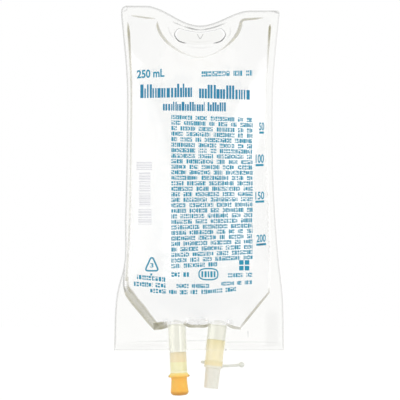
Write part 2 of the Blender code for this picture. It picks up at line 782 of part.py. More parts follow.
def main():
    clear_scene()
    parts = collection("iv_fluid_bag")
    cutters = collection("cutters")
    surface = film_surface()
    materials = {
        "film": plastic("clear film", (0.86, 0.87, 0.86), 0.12, 0.9),
        "back": plastic("clear back film", (0.84, 0.85, 0.84), 0.12, 0.9),
        "liquid": plastic("clear solution", (0.90, 0.91, 0.91), 0.02, 1.0, 1.33),
        "tube": plastic("clear soft tube", (0.84, 0.86, 0.80), 0.15, 0.8),
        "sleeve": plastic("amber sleeve", (0.80, 0.55, 0.33), 0.3),
        "housing": plastic("pale green housing", (0.80, 0.83, 0.50), 0.3),
        "orange": plastic("orange rubber", (0.92, 0.42, 0.06), 0.45),
        "bush": plastic("straw bush", (0.86, 0.76, 0.42), 0.3),
        "membrane": plastic("pale membrane", (0.85, 0.80, 0.62), 0.35),
        "cover": plastic("milky cover", (0.78, 0.77, 0.68), 0.35, 0.3),
    }
    film("front_film", -1, surface, materials["film"], parts)
    film("back_film", 1, surface, materials["back"], parts)
    solution(surface, materials["liquid"], parts, cutters)
    injection_port(materials, parts)
    outlet_port(materials, parts, cutters)


main()
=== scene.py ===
"""The looks of a 250 mL IV fluid bag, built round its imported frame.

Metres, +Z up, the printed front towards -Y, and the origin at the top of the hanger slot.
"""

import math
import random

import bmesh
import bpy
import numpy as np
from mathutils import Matrix, Vector
from mathutils.bvhtree import BVHTree
from mathutils.geometry import delaunay_2d_cdt

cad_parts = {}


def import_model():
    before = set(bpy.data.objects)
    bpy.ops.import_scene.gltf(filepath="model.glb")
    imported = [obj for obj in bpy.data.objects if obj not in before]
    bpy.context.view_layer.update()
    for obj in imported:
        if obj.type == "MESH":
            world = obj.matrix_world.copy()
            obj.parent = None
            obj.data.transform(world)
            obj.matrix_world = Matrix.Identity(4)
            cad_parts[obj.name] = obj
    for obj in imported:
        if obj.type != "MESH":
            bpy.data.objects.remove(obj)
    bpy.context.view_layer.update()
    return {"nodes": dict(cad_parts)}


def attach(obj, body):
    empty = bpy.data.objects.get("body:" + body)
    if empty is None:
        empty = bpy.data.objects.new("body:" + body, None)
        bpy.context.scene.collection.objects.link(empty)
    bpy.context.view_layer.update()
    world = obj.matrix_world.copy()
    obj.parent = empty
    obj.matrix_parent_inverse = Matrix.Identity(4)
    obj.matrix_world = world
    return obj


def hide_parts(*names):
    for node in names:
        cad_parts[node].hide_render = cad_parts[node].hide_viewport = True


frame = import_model()

# The model's own sizes, as its source gives them. A pair is (left, right)
LEFT, RIGHT = 0, 1
FILL_VOLUME = 0.000256
FILM = 0.0004
GAP = 0.0003
HEAD_AT_TOP = 0.06

# The sides: stations are shares of the mouth's drop, and a row runs from the top down
MOUTH_DROP = 0.1880
SKIRT_LENGTH = 0.0176
FILM_DROP = MOUTH_DROP + SKIRT_LENGTH
WAIST_HALF = 0.0475
SIDE_STATIONS = (0.160, 0.399, 0.644, 0.809)
EDGE_OUT = ((0.0035, 0.0000, 0.0000, 0.0010, 0.0020), (0.0039, 0.0001, -0.0005, 0.0013, 0.0039))
SEAL = ((0.0038, 0.0027, 0.0026, 0.0027, 0.0021), (0.0056, 0.0042, 0.0038, 0.0040, 0.0060))
NO_SEAL = (0.0, 0.0, 0.0, 0.0, 0.0)
CORNER_RISE = (0.0222, 0.0195)
FLARE_OUT = (0.0056, 0.0058)
SEAL_CORNER = (0.0047, 0.0081)
FOOT_OUT = (0.0082, 0.0067)

# The top edge
SHOULDER_RISE = (0.0174, 0.0143)
EDGE_CENTRE_RISE = 0.0046
DIP_HALF = (0.0360, 0.0330)
TOP_ROUND = (0.0035, 0.0014)

# The chamber
SEAL_ABOVE = (0.0054, 0.0040)
WELL_RISE = 0.0093
WELL_HALF = (0.0274, 0.0256)
WELL_DEPTH = 0.0248
WELL_POWER = 1.75
WELL_ROUND = (0.0026, 0.0040)
CHAMBER_ROUND = 0.0024
FLOOR_HALF = (0.0296, 0.0262)
FLOOR_SAG = 0.0014
FLOOR_CORNER_SAG = 0.0040

# The hanger slot: shares of the half width and sag, then of the side's slope and the height
SLOT_WIDTH = 0.0324
SLOT_HEIGHT = 0.0074
SLOT_SAG = 0.0026
SLOT_FOOT_WIDTH = 0.0186
SLOT_TOP_SHARES = ((0.58, 0.5), (0.86, 0.88))
SLOT_SIDE_SHARES = ((1.0, 0.12), (0.65, 0.65), (0.0, 0.88))

# The injection port
INJECTION_X = -0.0151
INJECTION_TILT = math.radians(2.5)
INJECTION_TUBE_DIAMETER = 0.0108
INJECTION_TUBE_WALL = 0.0012
INJECTION_TUBE_LENGTH = 0.0303
SLEEVE_DEPTH = 0.0188
SLEEVE_LENGTH = 0.0063
SLEEVE_WALL = 0.0010
HOUSING_WALL = 0.0013
HOUSING_FLANGE = 0.0010
CAP_FLANGE_DIAMETER = 0.0138
CAP_FLANGE = 0.0018
CAP_WAIST_DIAMETER = 0.0102
CAP_WAIST_DROP = 0.0016
CAP_WAIST_LENGTH = 0.0026
CAP_BULB_DIAMETER = 0.0116
CAP_BULB_ROUND = 0.0024
CAP_LENGTH = 0.0142
CAP_STEM_LENGTH = 0.0050

# The outlet port
OUTLET_X = 0.0115
OUTLET_TILT = math.radians(-6.0)
OUTLET_TUBE_DIAMETER = 0.0114
OUTLET_TUBE_WALL = 0.0012
OUTLET_TUBE_LENGTH = 0.0230
BUSH_DEPTH = 0.0107
BUSH_WALL = 0.0008
BUSH_COLLAR_DIAMETER = 0.0096
BUSH_COLLAR = 0.0036
BUSH_NECK_DIAMETER = 0.0070
BUSH_NECK_LENGTH = 0.0045
COVER_COLLAR_DIAMETER = 0.0118
COVER_WALL = 0.0009
COVER_TOP_DIAMETER = 0.0098
COVER_END_DIAMETER = 0.0091
COVER_SLEEVE_LENGTH = 0.0133
COVER_FLOOR = 0.0012
NUB_DIAMETER = 0.0020
NUB_REACH = 0.0024
TAIL_DIAMETER = 0.0021
TAIL_REACH = 0.0124
TAIL_RISE = math.radians(4.0)
TAIL_BALL_DIAMETER = 0.0044
WRAP_ANGLE = math.radians(60.0)

INJECTION = (INJECTION_X, INJECTION_TILT, INJECTION_TUBE_DIAMETER)
OUTLET = (OUTLET_X, OUTLET_TILT, OUTLET_TUBE_DIAMETER)
PORTS = (INJECTION, OUTLET)

# Painted shade, in soft dark lines that only the looks have: (x, z) points and widths in millimetres,
# along with (share of the length, width, strength). The first tables give the strength across a line
MM = 0.001
STRIP_ACROSS = ((-0.5, 0.0), (-0.25, 0.85), (0.0, 1.0), (0.25, 0.85), (0.5, 0.0))
EDGE_ACROSS = ((0.0, 0.9), (0.3, 1.0), (0.6, 0.6), (1.0, 0.0))
BAND_ACROSS = ((-0.5, 0.0), (-0.38, 1.0), (-0.1, 0.75), (0.15, 0.7), (0.38, 1.0), (0.5, 0.0))
# Painted shade along the film's cut edge and along the slot's edge
FILM_SHADES = (
    (0.0, 1.3, 0.32), (0.05, 1.3, 0.28), (0.3, 1.3, 0.28), (0.335, 1.3, 0.32), (0.346, 1.3, 0.12),
    (0.392, 1.2, 0.09), (0.396, 1.2, 0.0), (0.416, 1.2, 0.0), (0.42, 1.2, 0.05), (0.43, 1.2, 0.05),
    (0.434, 1.2, 0.0), (0.454, 1.2, 0.0), (0.458, 1.2, 0.09), (0.505, 1.2, 0.1), (0.515, 1.2, 0.22),
    (0.6, 1.2, 0.2), (0.75, 1.2, 0.12), (0.845, 1.2, 0.14), (0.86, 1.5, 0.28), (1.0, 1.5, 0.3),
)
SLOT_SHADES = (
    (0.0, 1.0, 0.3), (0.18, 1.0, 0.35), (0.24, 1.4, 0.55), (0.3, 2.0, 1.0), (0.36, 1.8, 1.0),
    (0.39, 0.9, 0.05), (0.61, 0.9, 0.05), (0.64, 1.8, 0.9), (0.7, 2.0, 1.05), (0.76, 1.4, 0.6),
    (0.82, 1.0, 0.35), (1.0, 1.0, 0.3),
)
# Painted shade along the film's creases and welds, and one broad line that greys the right of the skirt
CREASE_SHADES = (
    (((-17.9, 7.1), (-9.1, 3.6), (0.0, 1.8), (9.0, 3.4), (17.5, 6.5)),
     ((0.0, 1.1, 0.1), (0.1, 1.1, 0.35), (0.2, 1.0, 0.12), (0.34, 1.4, 0.65), (0.46, 1.2, 0.45),
      (0.52, 1.0, 0.2), (0.62, 1.2, 0.5), (0.85, 1.2, 0.5), (1.0, 1.0, 0.0))),
    (((-20.6, 4.0), (-19.2, -0.6), (-16.4, -4.6)),
     ((0.0, 1.2, 0.02), (0.5, 1.4, 0.12), (1.0, 1.2, 0.02))),
    (((19.6, 4.2), (19.4, -0.6), (17.2, -4.8)),
     ((0.0, 1.2, 0.02), (0.5, 1.4, 0.12), (1.0, 1.2, 0.02))),
    (((-10.0, -8.6), (0.0, -9.9), (10.0, -8.6)),
     ((0.0, 1.4, 0.0), (0.5, 1.6, 0.08), (1.0, 1.4, 0.0))),
    (((-50.5, 13.5), (-47.5, 14.6), (-46.6, 17.0)),
     ((0.0, 1.3, 0.0), (0.4, 1.5, 0.2), (1.0, 1.2, 0.05))),
    (((44.0, 14.0), (48.0, 13.6), (51.0, 12.6)),
     ((0.0, 1.2, 0.0), (0.7, 1.6, 0.35), (1.0, 1.4, 0.3))),
    (((-54.0, -200.8), (-34.0, -199.9), (-21.0, -199.6)),
     ((0.0, 1.2, 0.0), (0.6, 1.4, 0.06), (1.0, 1.4, 0.12))),
    (((-8.4, -199.3), (4.0, -199.3)), ((0.0, 1.4, 0.12), (0.5, 1.4, 0.05), (1.0, 1.4, 0.12))),
    (((17.5, -200.3), (35.0, -200.2), (53.5, -200.6)),
     ((0.0, 1.4, 0.1), (0.5, 1.4, 0.08), (1.0, 1.2, 0.02))),
    (((31.0, -193.0), (31.1, -197.0)), ((0.0, 1.2, 0.15), (1.0, 1.2, 0.1))),
    (((46.0, -176.0), (46.5, -190.0), (46.8, -203.0)),
     ((0.0, 8.0, 0.0), (0.3, 11.0, 0.06), (1.0, 12.0, 0.07))),
    (((-53.5, -203.0), (-34.0, -202.7), (-21.0, -202.6)),
     ((0.0, 4.4, 0.03), (0.5, 4.6, 0.05), (1.0, 4.4, 0.04))),
    (((18.0, -203.0), (35.0, -203.0), (53.0, -203.2)),
     ((0.0, 4.4, 0.03), (0.5, 4.4, 0.03), (1.0, 4.4, 0.02))),
    (((-48.6, -150.0), (-49.3, -160.0), (-49.2, -164.5), (-48.3, -167.5)),
     ((0.0, 1.2, 0.05), (0.3, 1.2, 0.3), (0.8, 1.6, 0.45), (1.0, 1.6, 0.4))),
)
# Painted shade along the tongue's folds
TONGUE_FOLD_SHADES = (
    (((-1.9, -0.9), (-0.1, -4.1)), ((0.0, 0.9, 0.25), (1.0, 0.9, 0.4))),
    (((2.1, -0.9), (0.2, -4.1)), ((0.0, 0.9, 0.25), (1.0, 0.9, 0.4))),
    (((-9.0, -4.9), (-1.0, -6.2), (8.0, -5.2)),
     ((0.0, 1.4, 0.02), (0.5, 1.6, 0.06), (1.0, 1.4, 0.02))),
)
# Painted shade inside the chamber's weld, where the liquid's steep side bends the light away: start and
# end on the chamber's outline, a shift inwards as a share of the width, and stations
REFRACTION_SHADES = (
    ((-47.0, 7.2), (-45.0, -50.0), 0.15,
     ((0.0, 0.8, 0.1), (0.05, 1.8, 0.6), (0.13, 2.2, 0.85), (0.24, 2.0, 0.62), (0.42, 1.7, 0.46),
      (1.0, 1.6, 0.36))),
    ((-45.0, -50.0), (-48.0, -160.0), 0.15,
     ((0.0, 1.6, 0.36), (0.4, 1.5, 0.28), (0.8, 1.6, 0.3), (1.0, 2.2, 0.4))),
    ((26.6, -191.0), (47.6, -166.0), 0.5,
     ((0.0, 1.6, 0.25), (0.2, 2.0, 0.65), (0.6, 2.0, 0.6), (0.88, 1.6, 0.5), (1.0, 1.2, 0.15))),
    ((48.0, -160.0), (44.0, -26.0), 0.5, ((0.0, 1.0, 0.05), (1.0, 1.1, 0.09))),
    ((44.0, -26.0), (45.8, 5.4), 0.1,
     ((0.0, 1.2, 0.1), (0.4, 1.5, 0.3), (0.6, 1.8, 0.5), (0.78, 2.0, 0.8), (0.94, 2.0, 1.1),
      (1.0, 1.2, 0.3))),
    ((40.8, 10.4), (12.3, -12.0), 0.5,
     ((0.0, 0.8, 0.15), (0.12, 1.6, 0.6), (0.28, 1.8, 0.6), (0.42, 2.6, 0.5), (0.6, 3.0, 0.5),
      (0.8, 2.0, 0.4), (1.0, 1.1, 0.16))),
    ((12.3, -12.0), (-11.0, -13.2), 0.5, ((0.0, 1.0, 0.16), (0.5, 1.0, 0.12), (1.0, 1.4, 0.16))),
    ((-11.0, -13.2), (-27.2, 6.9), 0.5,
     ((0.0, 1.5, 0.16), (0.25, 1.8, 0.3), (0.5, 2.4, 0.4), (0.75, 2.6, 0.45), (0.92, 1.9, 0.6),
      (1.0, 0.8, 0.2))),
    ((-28.5, 9.4), (-43.5, 12.4), 0.5,
     ((0.0, 0.9, 0.15), (0.35, 1.4, 0.5), (0.7, 1.4, 0.42), (1.0, 1.2, 0.2))),
)
# Painted shade in dark bands where the liquid bends the light away: along the chamber's lower left side,
# its floor and over the tubes' mouths
SHADE_BANDS = (
    (((-48.0, -164.0), (-46.7, -166.9), (-43.4, -172.0), (-37.6, -179.0), (-33.3, -184.6),
      (-28.0, -190.9)),
     ((0.0, 2.6, 0.2), (0.07, 5.2, 0.5), (0.16, 6.4, 0.64), (0.5, 6.6, 0.66), (0.85, 5.8, 0.64),
      (1.0, 5.2, 0.62))),
    (((-30.0, -190.2), (-25.5, -189.6), (-21.0, -188.9)),
     ((0.0, 5.2, 0.5), (0.5, 5.6, 1.05), (1.0, 4.4, 0.7))),
    (((-46.7, -158.0), (-46.6, -163.0), (-45.7, -166.4), (-44.2, -168.8)),
     ((0.0, 1.6, 0.3), (0.4, 1.8, 0.4), (0.8, 1.6, 0.5), (1.0, 1.4, 0.2))),
    (((-10.6, -187.9), (-7.2, -189.6), (-1.0, -189.9), (4.0, -189.7), (6.4, -188.6)),
     ((0.0, 1.6, 0.4), (0.15, 2.4, 0.95), (0.5, 2.0, 0.75), (0.85, 2.1, 0.95), (1.0, 1.4, 0.4))),
    (((17.0, -188.6), (21.5, -190.6), (26.4, -191.4)),
     ((0.0, 1.6, 0.4), (0.4, 2.2, 0.65), (1.0, 1.6, 0.5))),
    (((-20.4, -187.6), (-16.0, -186.4), (-11.0, -187.6)),
     ((0.0, 1.4, 0.08), (0.5, 1.8, 0.2), (1.0, 1.4, 0.12))),
    (((6.6, -187.4), (11.4, -186.6), (16.6, -188.0)),
     ((0.0, 1.4, 0.08), (0.5, 1.8, 0.18), (1.0, 1.4, 0.12))),
    (((-19.8, -188.9), (-15.5, -188.2), (-11.4, -188.9)),
     ((0.0, 3.2, 0.1), (0.5, 3.4, 0.14), (1.0, 3.2, 0.1))),
    (((7.0, -188.9), (11.4, -188.4), (16.0, -189.3)),
     ((0.0, 3.2, 0.1), (0.5, 3.4, 0.14), (1.0, 3.2, 0.1))),
)

# The print: false words of upright bars, broken by the shares below, and never of letters.
# The block's lines turn a little from row to row, and are level at one pixel row of the photo
PRINT_SEED = 7
PRINT_STEP = 0.002
WORD_LENGTHS = (2, 9)
WORD_GAP = 0.15
SLIVER = 0.3
BAR_WIDTHS = (0.7, 1.0, 1.0, 1.5)
BAR_GAPS = (0.25, 0.35, 0.55)
TALL_SHARE = 0.45
UNBROKEN = ((0.0, 1.0),)
BAR_BREAKS = (
    UNBROKEN,
    UNBROKEN,
    ((0.0, 0.38), (0.62, 1.0)),
    ((0.0, 0.3), (0.5, 1.0)),
    ((0.0, 0.6), (0.8, 1.0)),
    ((0.1, 0.9),),
)
TEXT_ROWS = 28
TEXT_TOP = -0.0556
TEXT_PITCH = 0.003494
TEXT_HEIGHT = 0.0027
TEXT_STROKE = 0.00078
TEXT_GLYPH = 0.00195
TEXT_LEFT, TEXT_RIGHT, TEXT_LAST_END = -0.0185, 0.0343, 0.0114
TEXT_TWIST = 0.0383 / 67
TEXT_LEVEL_ROW = 185.0

# Headings in millimetres: base line, words, then height and stroke in metres, and tall share.
# False lines: base line, height, stroke and pitch. Boxes: left, right, foot and head.
# Graduations: the figure and its box, then its tick's left, right and height, and the slope
HEADINGS = (
    (((-38.6, -42.4), (-4.5, -41.7), (0.0, -42.4), (32.7, -43.4)),
     ((-38.6, -4.7), (-0.6, 32.7)), 0.0062, 0.0014, 1.42),
    (((-24.0, -50.4), (17.0, -51.0)), ((-24.0, 3.0), (4.9, 17.0)), 0.0043, 0.0012, 1.35),
)
FALSE_LINES = (
    (((1.0, -28.5), (34.0, -27.8)), 3.4, 0.8, 2.1),
    (((-40.8, -159.4), (-21.5, -161.3)), 2.8, 1.05, 1.75),
    (((-42.7, -163.9), (-21.8, -165.2)), 2.8, 1.05, 1.75),
    (((-18.5, -158.0), (-6.9, -158.0)), 2.9, 1.1, 1.8),
    (((-15.2, -165.2), (6.3, -165.2)), 2.6, 0.9, 1.7),
    (((13.8, -163.8), (34.0, -162.7)), 2.5, 0.75, 1.7),
    (((18.1, -158.4), (34.0, -158.0)), 2.7, 0.75, 2.1),
    (((-32.2, -168.3), (-13.6, -169.4), (4.9, -169.0), (23.5, -167.2)), 2.7, 1.0, 1.75),
)
TRIANGLE = ((-35.6, -154.1), (-26.7, -154.1), (-31.15, -144.1))
TRIANGLE_CORNER = 1.1
TRIANGLE_STROKE = 1.0
TRIANGLE_FIGURE = ("3", -32.2, -30.1, -152.0, -149.1)
OVAL = (5.45, -156.3, 6.1, 3.6)
OVAL_POWER = 0.7
OVAL_STROKE = 0.85
OVAL_STEPS = 48
PLAIN_BLOCKS = (
    (-32.1, -30.9, -157.2, -155.8),
    (0.9, 2.1, -158.3, -154.4),
    (2.9, 4.3, -158.3, -154.4),
    (5.0, 6.0, -158.3, -154.4),
    (6.7, 8.1, -158.3, -154.4),
    (8.8, 10.0, -158.3, -154.4),
    (25.3, 28.2, -150.2, -147.2),
    (28.9, 31.9, -150.2, -147.2),
    (25.3, 28.2, -153.9, -150.9),
    (28.9, 31.9, -153.9, -150.9),
)
PALE_BLOCKS = (
    (-41.1, -31.0, -88.9, -83.7),
    (-39.5, -32.0, -112.5, -90.5),
    (-40.0, -31.5, -124.2, -114.2),
)
PALE_THICK, PALE_GAP = (0.5, 1.3), (0.3, 0.8)
VOLUME = ("250 mL", -40.8, -23.0, -29.2, -23.8)
VOLUME_SLOPE, VOLUME_WEIGHT, FIGURE_WEIGHT = 0.06, 0.03, 0.024
TICK_STROKE = 1.4
GRADUATIONS = (
    ("50", 38.2, 41.5, -63.3, -58.1, 38.4, 41.3, -64.7, 0.0),
    ("100", 36.0, 41.3, -84.4, -78.8, 35.9, 41.1, -85.8, 0.03),
    ("150", 35.8, 41.5, -108.0, -102.9, 35.8, 41.5, -109.5, 0.05),
    ("200", 36.6, 42.5, -135.6, -130.6, 36.4, 42.7, -137.3, 0.08),
)

# Small forms of the ports and the slot that only the looks have
LIP_DROOP = 0.0016
LIP_EDGE = 0.0008
LIP_TAPER, LIP_ROUND, LIP_HOLLOW = 0.0006, 0.0003, 0.0009
HOLLOW_SHARE = 0.6
WAIST_FLARE, WAIST_LEAN = 0.0002, 0.0001
BULB_RISE, BULB_DRAFT, BULB_FOOT = 0.0016, 0.0002, 0.0008
CAP_DOME = 0.0003
PROFILE_STEP = 0.0003
TAIL_SAG = 0.0002
TAIL_DROP = 0.0007
NUB_LIFT = 0.0006
TAIL_SLIM = 0.82
TAIL_SHAPE = (
    (0.0, 1.25), (0.1, 1.05), (0.2, 0.98), (0.35, 0.95), (0.5, 0.95), (0.65, 1.0), (0.78, 1.1),
)
BALL_START, BALL_TURN = math.radians(-58.0), math.radians(148.0)
BALL_STEPS, BALL_TIP = 12, 0.04
NUB_SHARES = (0.0, 0.25, 0.5, 0.75)
NUB_TAPER = 0.9
NUB_STEPS, NUB_TIP = 6, 0.05
MEMBRANE = 0.0006
ROD_SEGMENTS = 24
TONGUE_FIT = 0.93
TONGUE_LEAN = math.radians(9.0)

# How finely the looks are meshed
FILM_STEP = 0.0017
SLOT_STEP = 0.0009
LINE_STEP = 0.0012
CLEAR_STEPS = 0.62
WELL_STEPS = 40
ROUND_STEPS = 72
ARC_STEPS = 10
CORNER_ARC_STEP = math.radians(8.0)
CORNER_CLEARANCE = 1.5
TOP_FIRST_COLUMN = 3
SHARP_ANGLE = math.radians(40.0)
FILM_SMOOTH = math.radians(75.0)
MERGED = 1e-6
NO_LENGTH = 1e-15
SOLVED_TO = 1e-16
MOST_ROUNDS = 4000
WRAP_LINES = (0.0, 0.2, 0.4, 0.6, 0.75)
WRAP_MARGIN = 1.08

# The bag's two sides, by the sign of y, and how far prints and marks stand proud of the film,
# how strong marks are on each side, how the liquid clears it and how far bonded pieces overlap
FRONT, BACK = -1, 1
SIDES = (("front", FRONT), ("back", BACK))
PROUD = 0.00006
BOTH_SIDES = 0.6
LIQUID_CLEARANCE = 0.00003
BOND_OVERLAP = 0.00003

# The photograph: one pixel's width, the origin's place in it, and its side
PIXEL = 0.000647
ORIGIN_COLUMN, ORIGIN_ROW = 200.0, 32.6
PHOTO_SIDE = 400
CAMERA_DISTANCE = 3.0
SENSOR = 36.0
EYE_HEIGHT = (ORIGIN_ROW - PHOTO_SIDE / 2) * PIXEL

# The stage: lights as place, size, power and whether gloss shows them, and the studio's greys
# by height for all rays, then for those that glance off and those that pass through
CLEAR_BOUNCES = 32
DIFFUSE_BOUNCES = 10
LIGHT_TARGET = (0.0, 0.0, -0.11)
LIGHTS = {
    "key light": ((-1.6, -0.9, -0.05), (2.0, 2.0), 9.0, True),
    "fill light": ((1.2, -1.3, 0.3), (0.9, 1.2), 7.4, False),
}
STUDIO = (
    (None, ((0.0, 0.62), (0.5, 0.80), (1.0, 0.95))),
    ("Is Glossy Ray", ((0.0, 0.5), (0.3, 0.7), (0.5, 0.9), (0.62, 0.8), (1.0, 1.0))),
    ("Is Transmission Ray", ((0.0, 0.85), (0.2, 1.0), (0.85, 1.0), (1.0, 0.85))),
)
STUDIO_BLUE = 0.985
FLOOR_HEIGHT, FLOOR_SIZE, FLOOR_LIFT = -0.30, 4.0, 0.25

# The grain of solid colours and the noise that all finishes share, then tints along a piece:
# a span in metres, and (share of the span, colour)
GRAIN_SCALE, GRAIN_STRENGTH, GRAIN_DEPTH = 300.0, 0.1, 0.0002
GRAIN_DARK, GRAIN_LIGHT = 0.35, 0.65
NOISE_DETAIL = 3.0
NO_TINT = (1.0, 1.0, 1.0)
# The cap's own orange, paler up towards its lip and stem, with painted shade on the round of its end
CAP_SPAN = (-0.0460, -0.0310)
CAP_COLOUR_AND_END_SHADE = (
    (0.0, (0.62, 0.34, 0.11)), (0.07, (0.72, 0.43, 0.15)), (0.15, (0.92, 0.60, 0.22)),
    (0.76, (0.92, 0.62, 0.24)), (0.84, (0.95, 0.80, 0.5)), (1.0, NO_TINT),
)
# Painted shade on the lip's rim, only at its left and right tips
LIP_SPAN = (0.0060, 0.0068)
LIP_STRETCH = (1.0, 0.35, 0.0)
LIP_TIP_SHADE = ((0.0, NO_TINT), (1.0, (0.42, 0.38, 0.26)))
BUSH_SPAN = (-0.0235, -0.0107)
BUSH_TINTS = ((0.0, NO_TINT), (0.45, NO_TINT), (0.6, (0.98, 0.97, 0.88)), (1.0, (0.93, 0.90, 0.70)))
COVER_SPAN = (-0.0300, -0.0230)
COVER_TINTS = (
    (0.0, (0.92, 0.90, 0.88)), (0.3, (0.95, 0.91, 0.84)), (0.42, (1.0, 0.86, 0.60)),
    (0.6, (0.97, 0.84, 0.56)), (0.9, (0.98, 0.90, 0.70)), (1.0, (1.0, 0.94, 0.78)),
)


# Outlines, as (x, z) points


def smooth_through(points, step, closed=False):
    """Points about one step apart on a smooth curve through the given ones, less the last."""
    knots = np.array(points)
    spans = range(len(knots) - 1)
    if closed:
        spans = range(2, len(knots) + 2)
        knots = np.vstack((knots[-2:], knots, knots[:3]))
    chord = np.concatenate(([0.0], np.cumsum(np.linalg.norm(np.diff(knots, axis=0), axis=1))))
    slopes = np.gradient(knots, chord, axis=0)
    run = []
    for i in spans:
        length = chord[i + 1] - chord[i]
        count = max(1, round(length / step))
        for t in np.arange(count) / count:
            point = (1 + 2 * t) * (1 - t) ** 2 * knots[i] + t * t * (3 - 2 * t) * knots[i + 1]
            point = point + length * t * (1 - t) ** 2 * slopes[i]
            point = point - length * t * t * (1 - t) * slopes[i + 1]
            run.append(tuple(point))
    return run


def rounded(corners):
    """A closed outline of (x, z, radius) corners, with an arc where the radius isn't zero."""
    outline = []
    for i, (x, z, radius) in enumerate(corners):
        corner = Vector((x, z))
        if radius == 0.0:
            outline.append((x, z))
            continue
        back = (Vector(corners[i - 1][:2]) - corner).normalized()
        ahead = (Vector(corners[(i + 1) % len(corners)][:2]) - corner).normalized()
        half_angle = back.angle(ahead) / 2
        centre = corner + (back + ahead).normalized() * radius / math.sin(half_angle)
        start = corner + back * radius / math.tan(half_angle) - centre
        turn = math.pi - 2 * half_angle
        side = 1.0 if back.x * ahead.y - back.y * ahead.x < 0 else -1.0
        count = max(2, round(turn / CORNER_ARC_STEP))
        for k in range(count + 1):
            spoke = start.copy()
            spoke.rotate(Matrix.Rotation(side * turn * k / count, 2))
            outline.append(tuple(centre + spoke))
    return outline


def divided(outline, step):
    """The closed outline again, with its long sides cut into equal parts."""
    points = []
    for i, (x, z) in enumerate(outline):
        next_x, next_z = outline[(i + 1) % len(outline)]
        count = max(1, round(math.hypot(next_x - x, next_z - z) / step))
        for k in range(count):
            points.append((x + (next_x - x) * k / count, z + (next_z - z) * k / count))
    return points


def sharp(points):
    return [(x, z, 0.0) for x, z in points]


def signed_power(value, power):
    return math.copysign(abs(value) ** power, value)


def top_edge_rise(x):
    """Height of the film's top edge, which swings down from each shoulder to the middle."""
    side = LEFT if x < 0 else RIGHT
    swing = (1 - math.cos(math.pi * min(1.0, abs(x) / DIP_HALF[side]))) / 2
    return EDGE_CENTRE_RISE + (SHOULDER_RISE[side] - EDGE_CENTRE_RISE) * swing


def side_points(side, top, seals=NO_SEAL, corner_seal=0.0):
    """A side's points, from its top down to where it flares beside the chamber's corner."""
    halves = [WAIST_HALF + out - seal for out, seal in zip(EDGE_OUT[side], seals)]
    points = list(zip(halves, [top] + [-station * MOUTH_DROP for station in SIDE_STATIONS]))
    points.append((WAIST_HALF + FLARE_OUT[side] - corner_seal, CORNER_RISE[side] - MOUTH_DROP))
    return points if side == RIGHT else [(-x, z) for x, z in points]


def film_outline():
    """The film's cut edge, down the left side, along the foot and up the right side."""
    tops = [rise - 2 * corner for rise, corner in zip(SHOULDER_RISE, TOP_ROUND)]
    left = side_points(LEFT, tops[LEFT]) + [(-WAIST_HALF - FOOT_OUT[LEFT], -FILM_DROP)]
    right = side_points(RIGHT, tops[RIGHT]) + [(WAIST_HALF + FOOT_OUT[RIGHT], -FILM_DROP)]
    left_edge, right_edge = left[0][0], right[0][0]
    columns = round((right_edge - left_edge) / FILM_STEP)
    top = []
    for k in range(TOP_FIRST_COLUMN, columns - 1):
        x = right_edge - (right_edge - left_edge) * k / columns
        top.append((x, top_edge_rise(x)))
    corners = (
        [(left_edge, SHOULDER_RISE[LEFT], TOP_ROUND[LEFT])]
        + sharp(smooth_through(left, FILM_STEP) + [left[-1]])
        + sharp(smooth_through(right[::-1], FILM_STEP) + [right[0]])
        + [(right_edge, SHOULDER_RISE[RIGHT], TOP_ROUND[RIGHT])]
        + sharp(top)
    )
    return divided(rounded(corners), FILM_STEP)


def chamber_outline():
    """The inner line of the weld: down the left side, along the floor, up and over the well."""
    sides, runs = [], []
    for side in (LEFT, RIGHT):
        top = SHOULDER_RISE[side] - SEAL_ABOVE[side]
        points = side_points(side, top, SEAL[side], SEAL_CORNER[side])
        run = smooth_through(points if side == LEFT else points[::-1], FILM_STEP)
        runs.append([point for point in run if point[1] < top - CORNER_CLEARANCE * CHAMBER_ROUND])
        sides.append(points)
    corner_z = -MOUTH_DROP - FLOOR_CORNER_SAG
    mouths = []
    for x, tilt, diameter in PORTS:
        reach = mouth_reach(tilt, diameter)
        mouths += [(x - reach, -MOUTH_DROP), (x + reach, -MOUTH_DROP)]
    between = ((INJECTION_X + OUTLET_X) / 2, -MOUTH_DROP - FLOOR_SAG)
    well = []
    for k in range(1, WELL_STEPS):
        across = math.cos(math.pi * k / WELL_STEPS)
        down = math.sin(math.pi * k / WELL_STEPS)
        side = RIGHT if across > 0 else LEFT
        z = WELL_RISE - WELL_DEPTH * down ** (2 / WELL_POWER)
        if z < WELL_RISE - WELL_ROUND[side]:
            well.append((signed_power(across, 2 / WELL_POWER) * WELL_HALF[side], z))
    corners = (
        [(*sides[LEFT][0], CHAMBER_ROUND)]
        + sharp(runs[LEFT] + [sides[LEFT][-1]])
        + [(-FLOOR_HALF[LEFT], corner_z, CHAMBER_ROUND)]
        + sharp(mouths[:2] + [between] + mouths[2:])
        + [(FLOOR_HALF[RIGHT], corner_z, CHAMBER_ROUND)]
        + sharp(runs[RIGHT])
        + [(*sides[RIGHT][0], CHAMBER_ROUND)]
        + [(WELL_HALF[RIGHT], WELL_RISE, WELL_ROUND[RIGHT])]
        + sharp(well)
        + [(-WELL_HALF[LEFT], WELL_RISE, WELL_ROUND[LEFT])]
    )
    return divided(rounded(corners), FILM_STEP)


def slot_outline(step=SLOT_STEP):
    """The slot that a hook goes through, with its top centre at the origin."""
    half, foot = SLOT_WIDTH / 2, SLOT_FOOT_WIDTH / 2
    right = [(half * across, SLOT_SAG * up) for across, up in SLOT_TOP_SHARES]
    right += [(foot + (half - foot) * out, -SLOT_HEIGHT * down) for out, down in SLOT_SIDE_SHARES]
    left = [(-x, z) for x, z in reversed(right)]
    return smooth_through([(0.0, 0.0)] + right + [(0.0, -SLOT_HEIGHT)] + left, step, closed=True)


# Ports


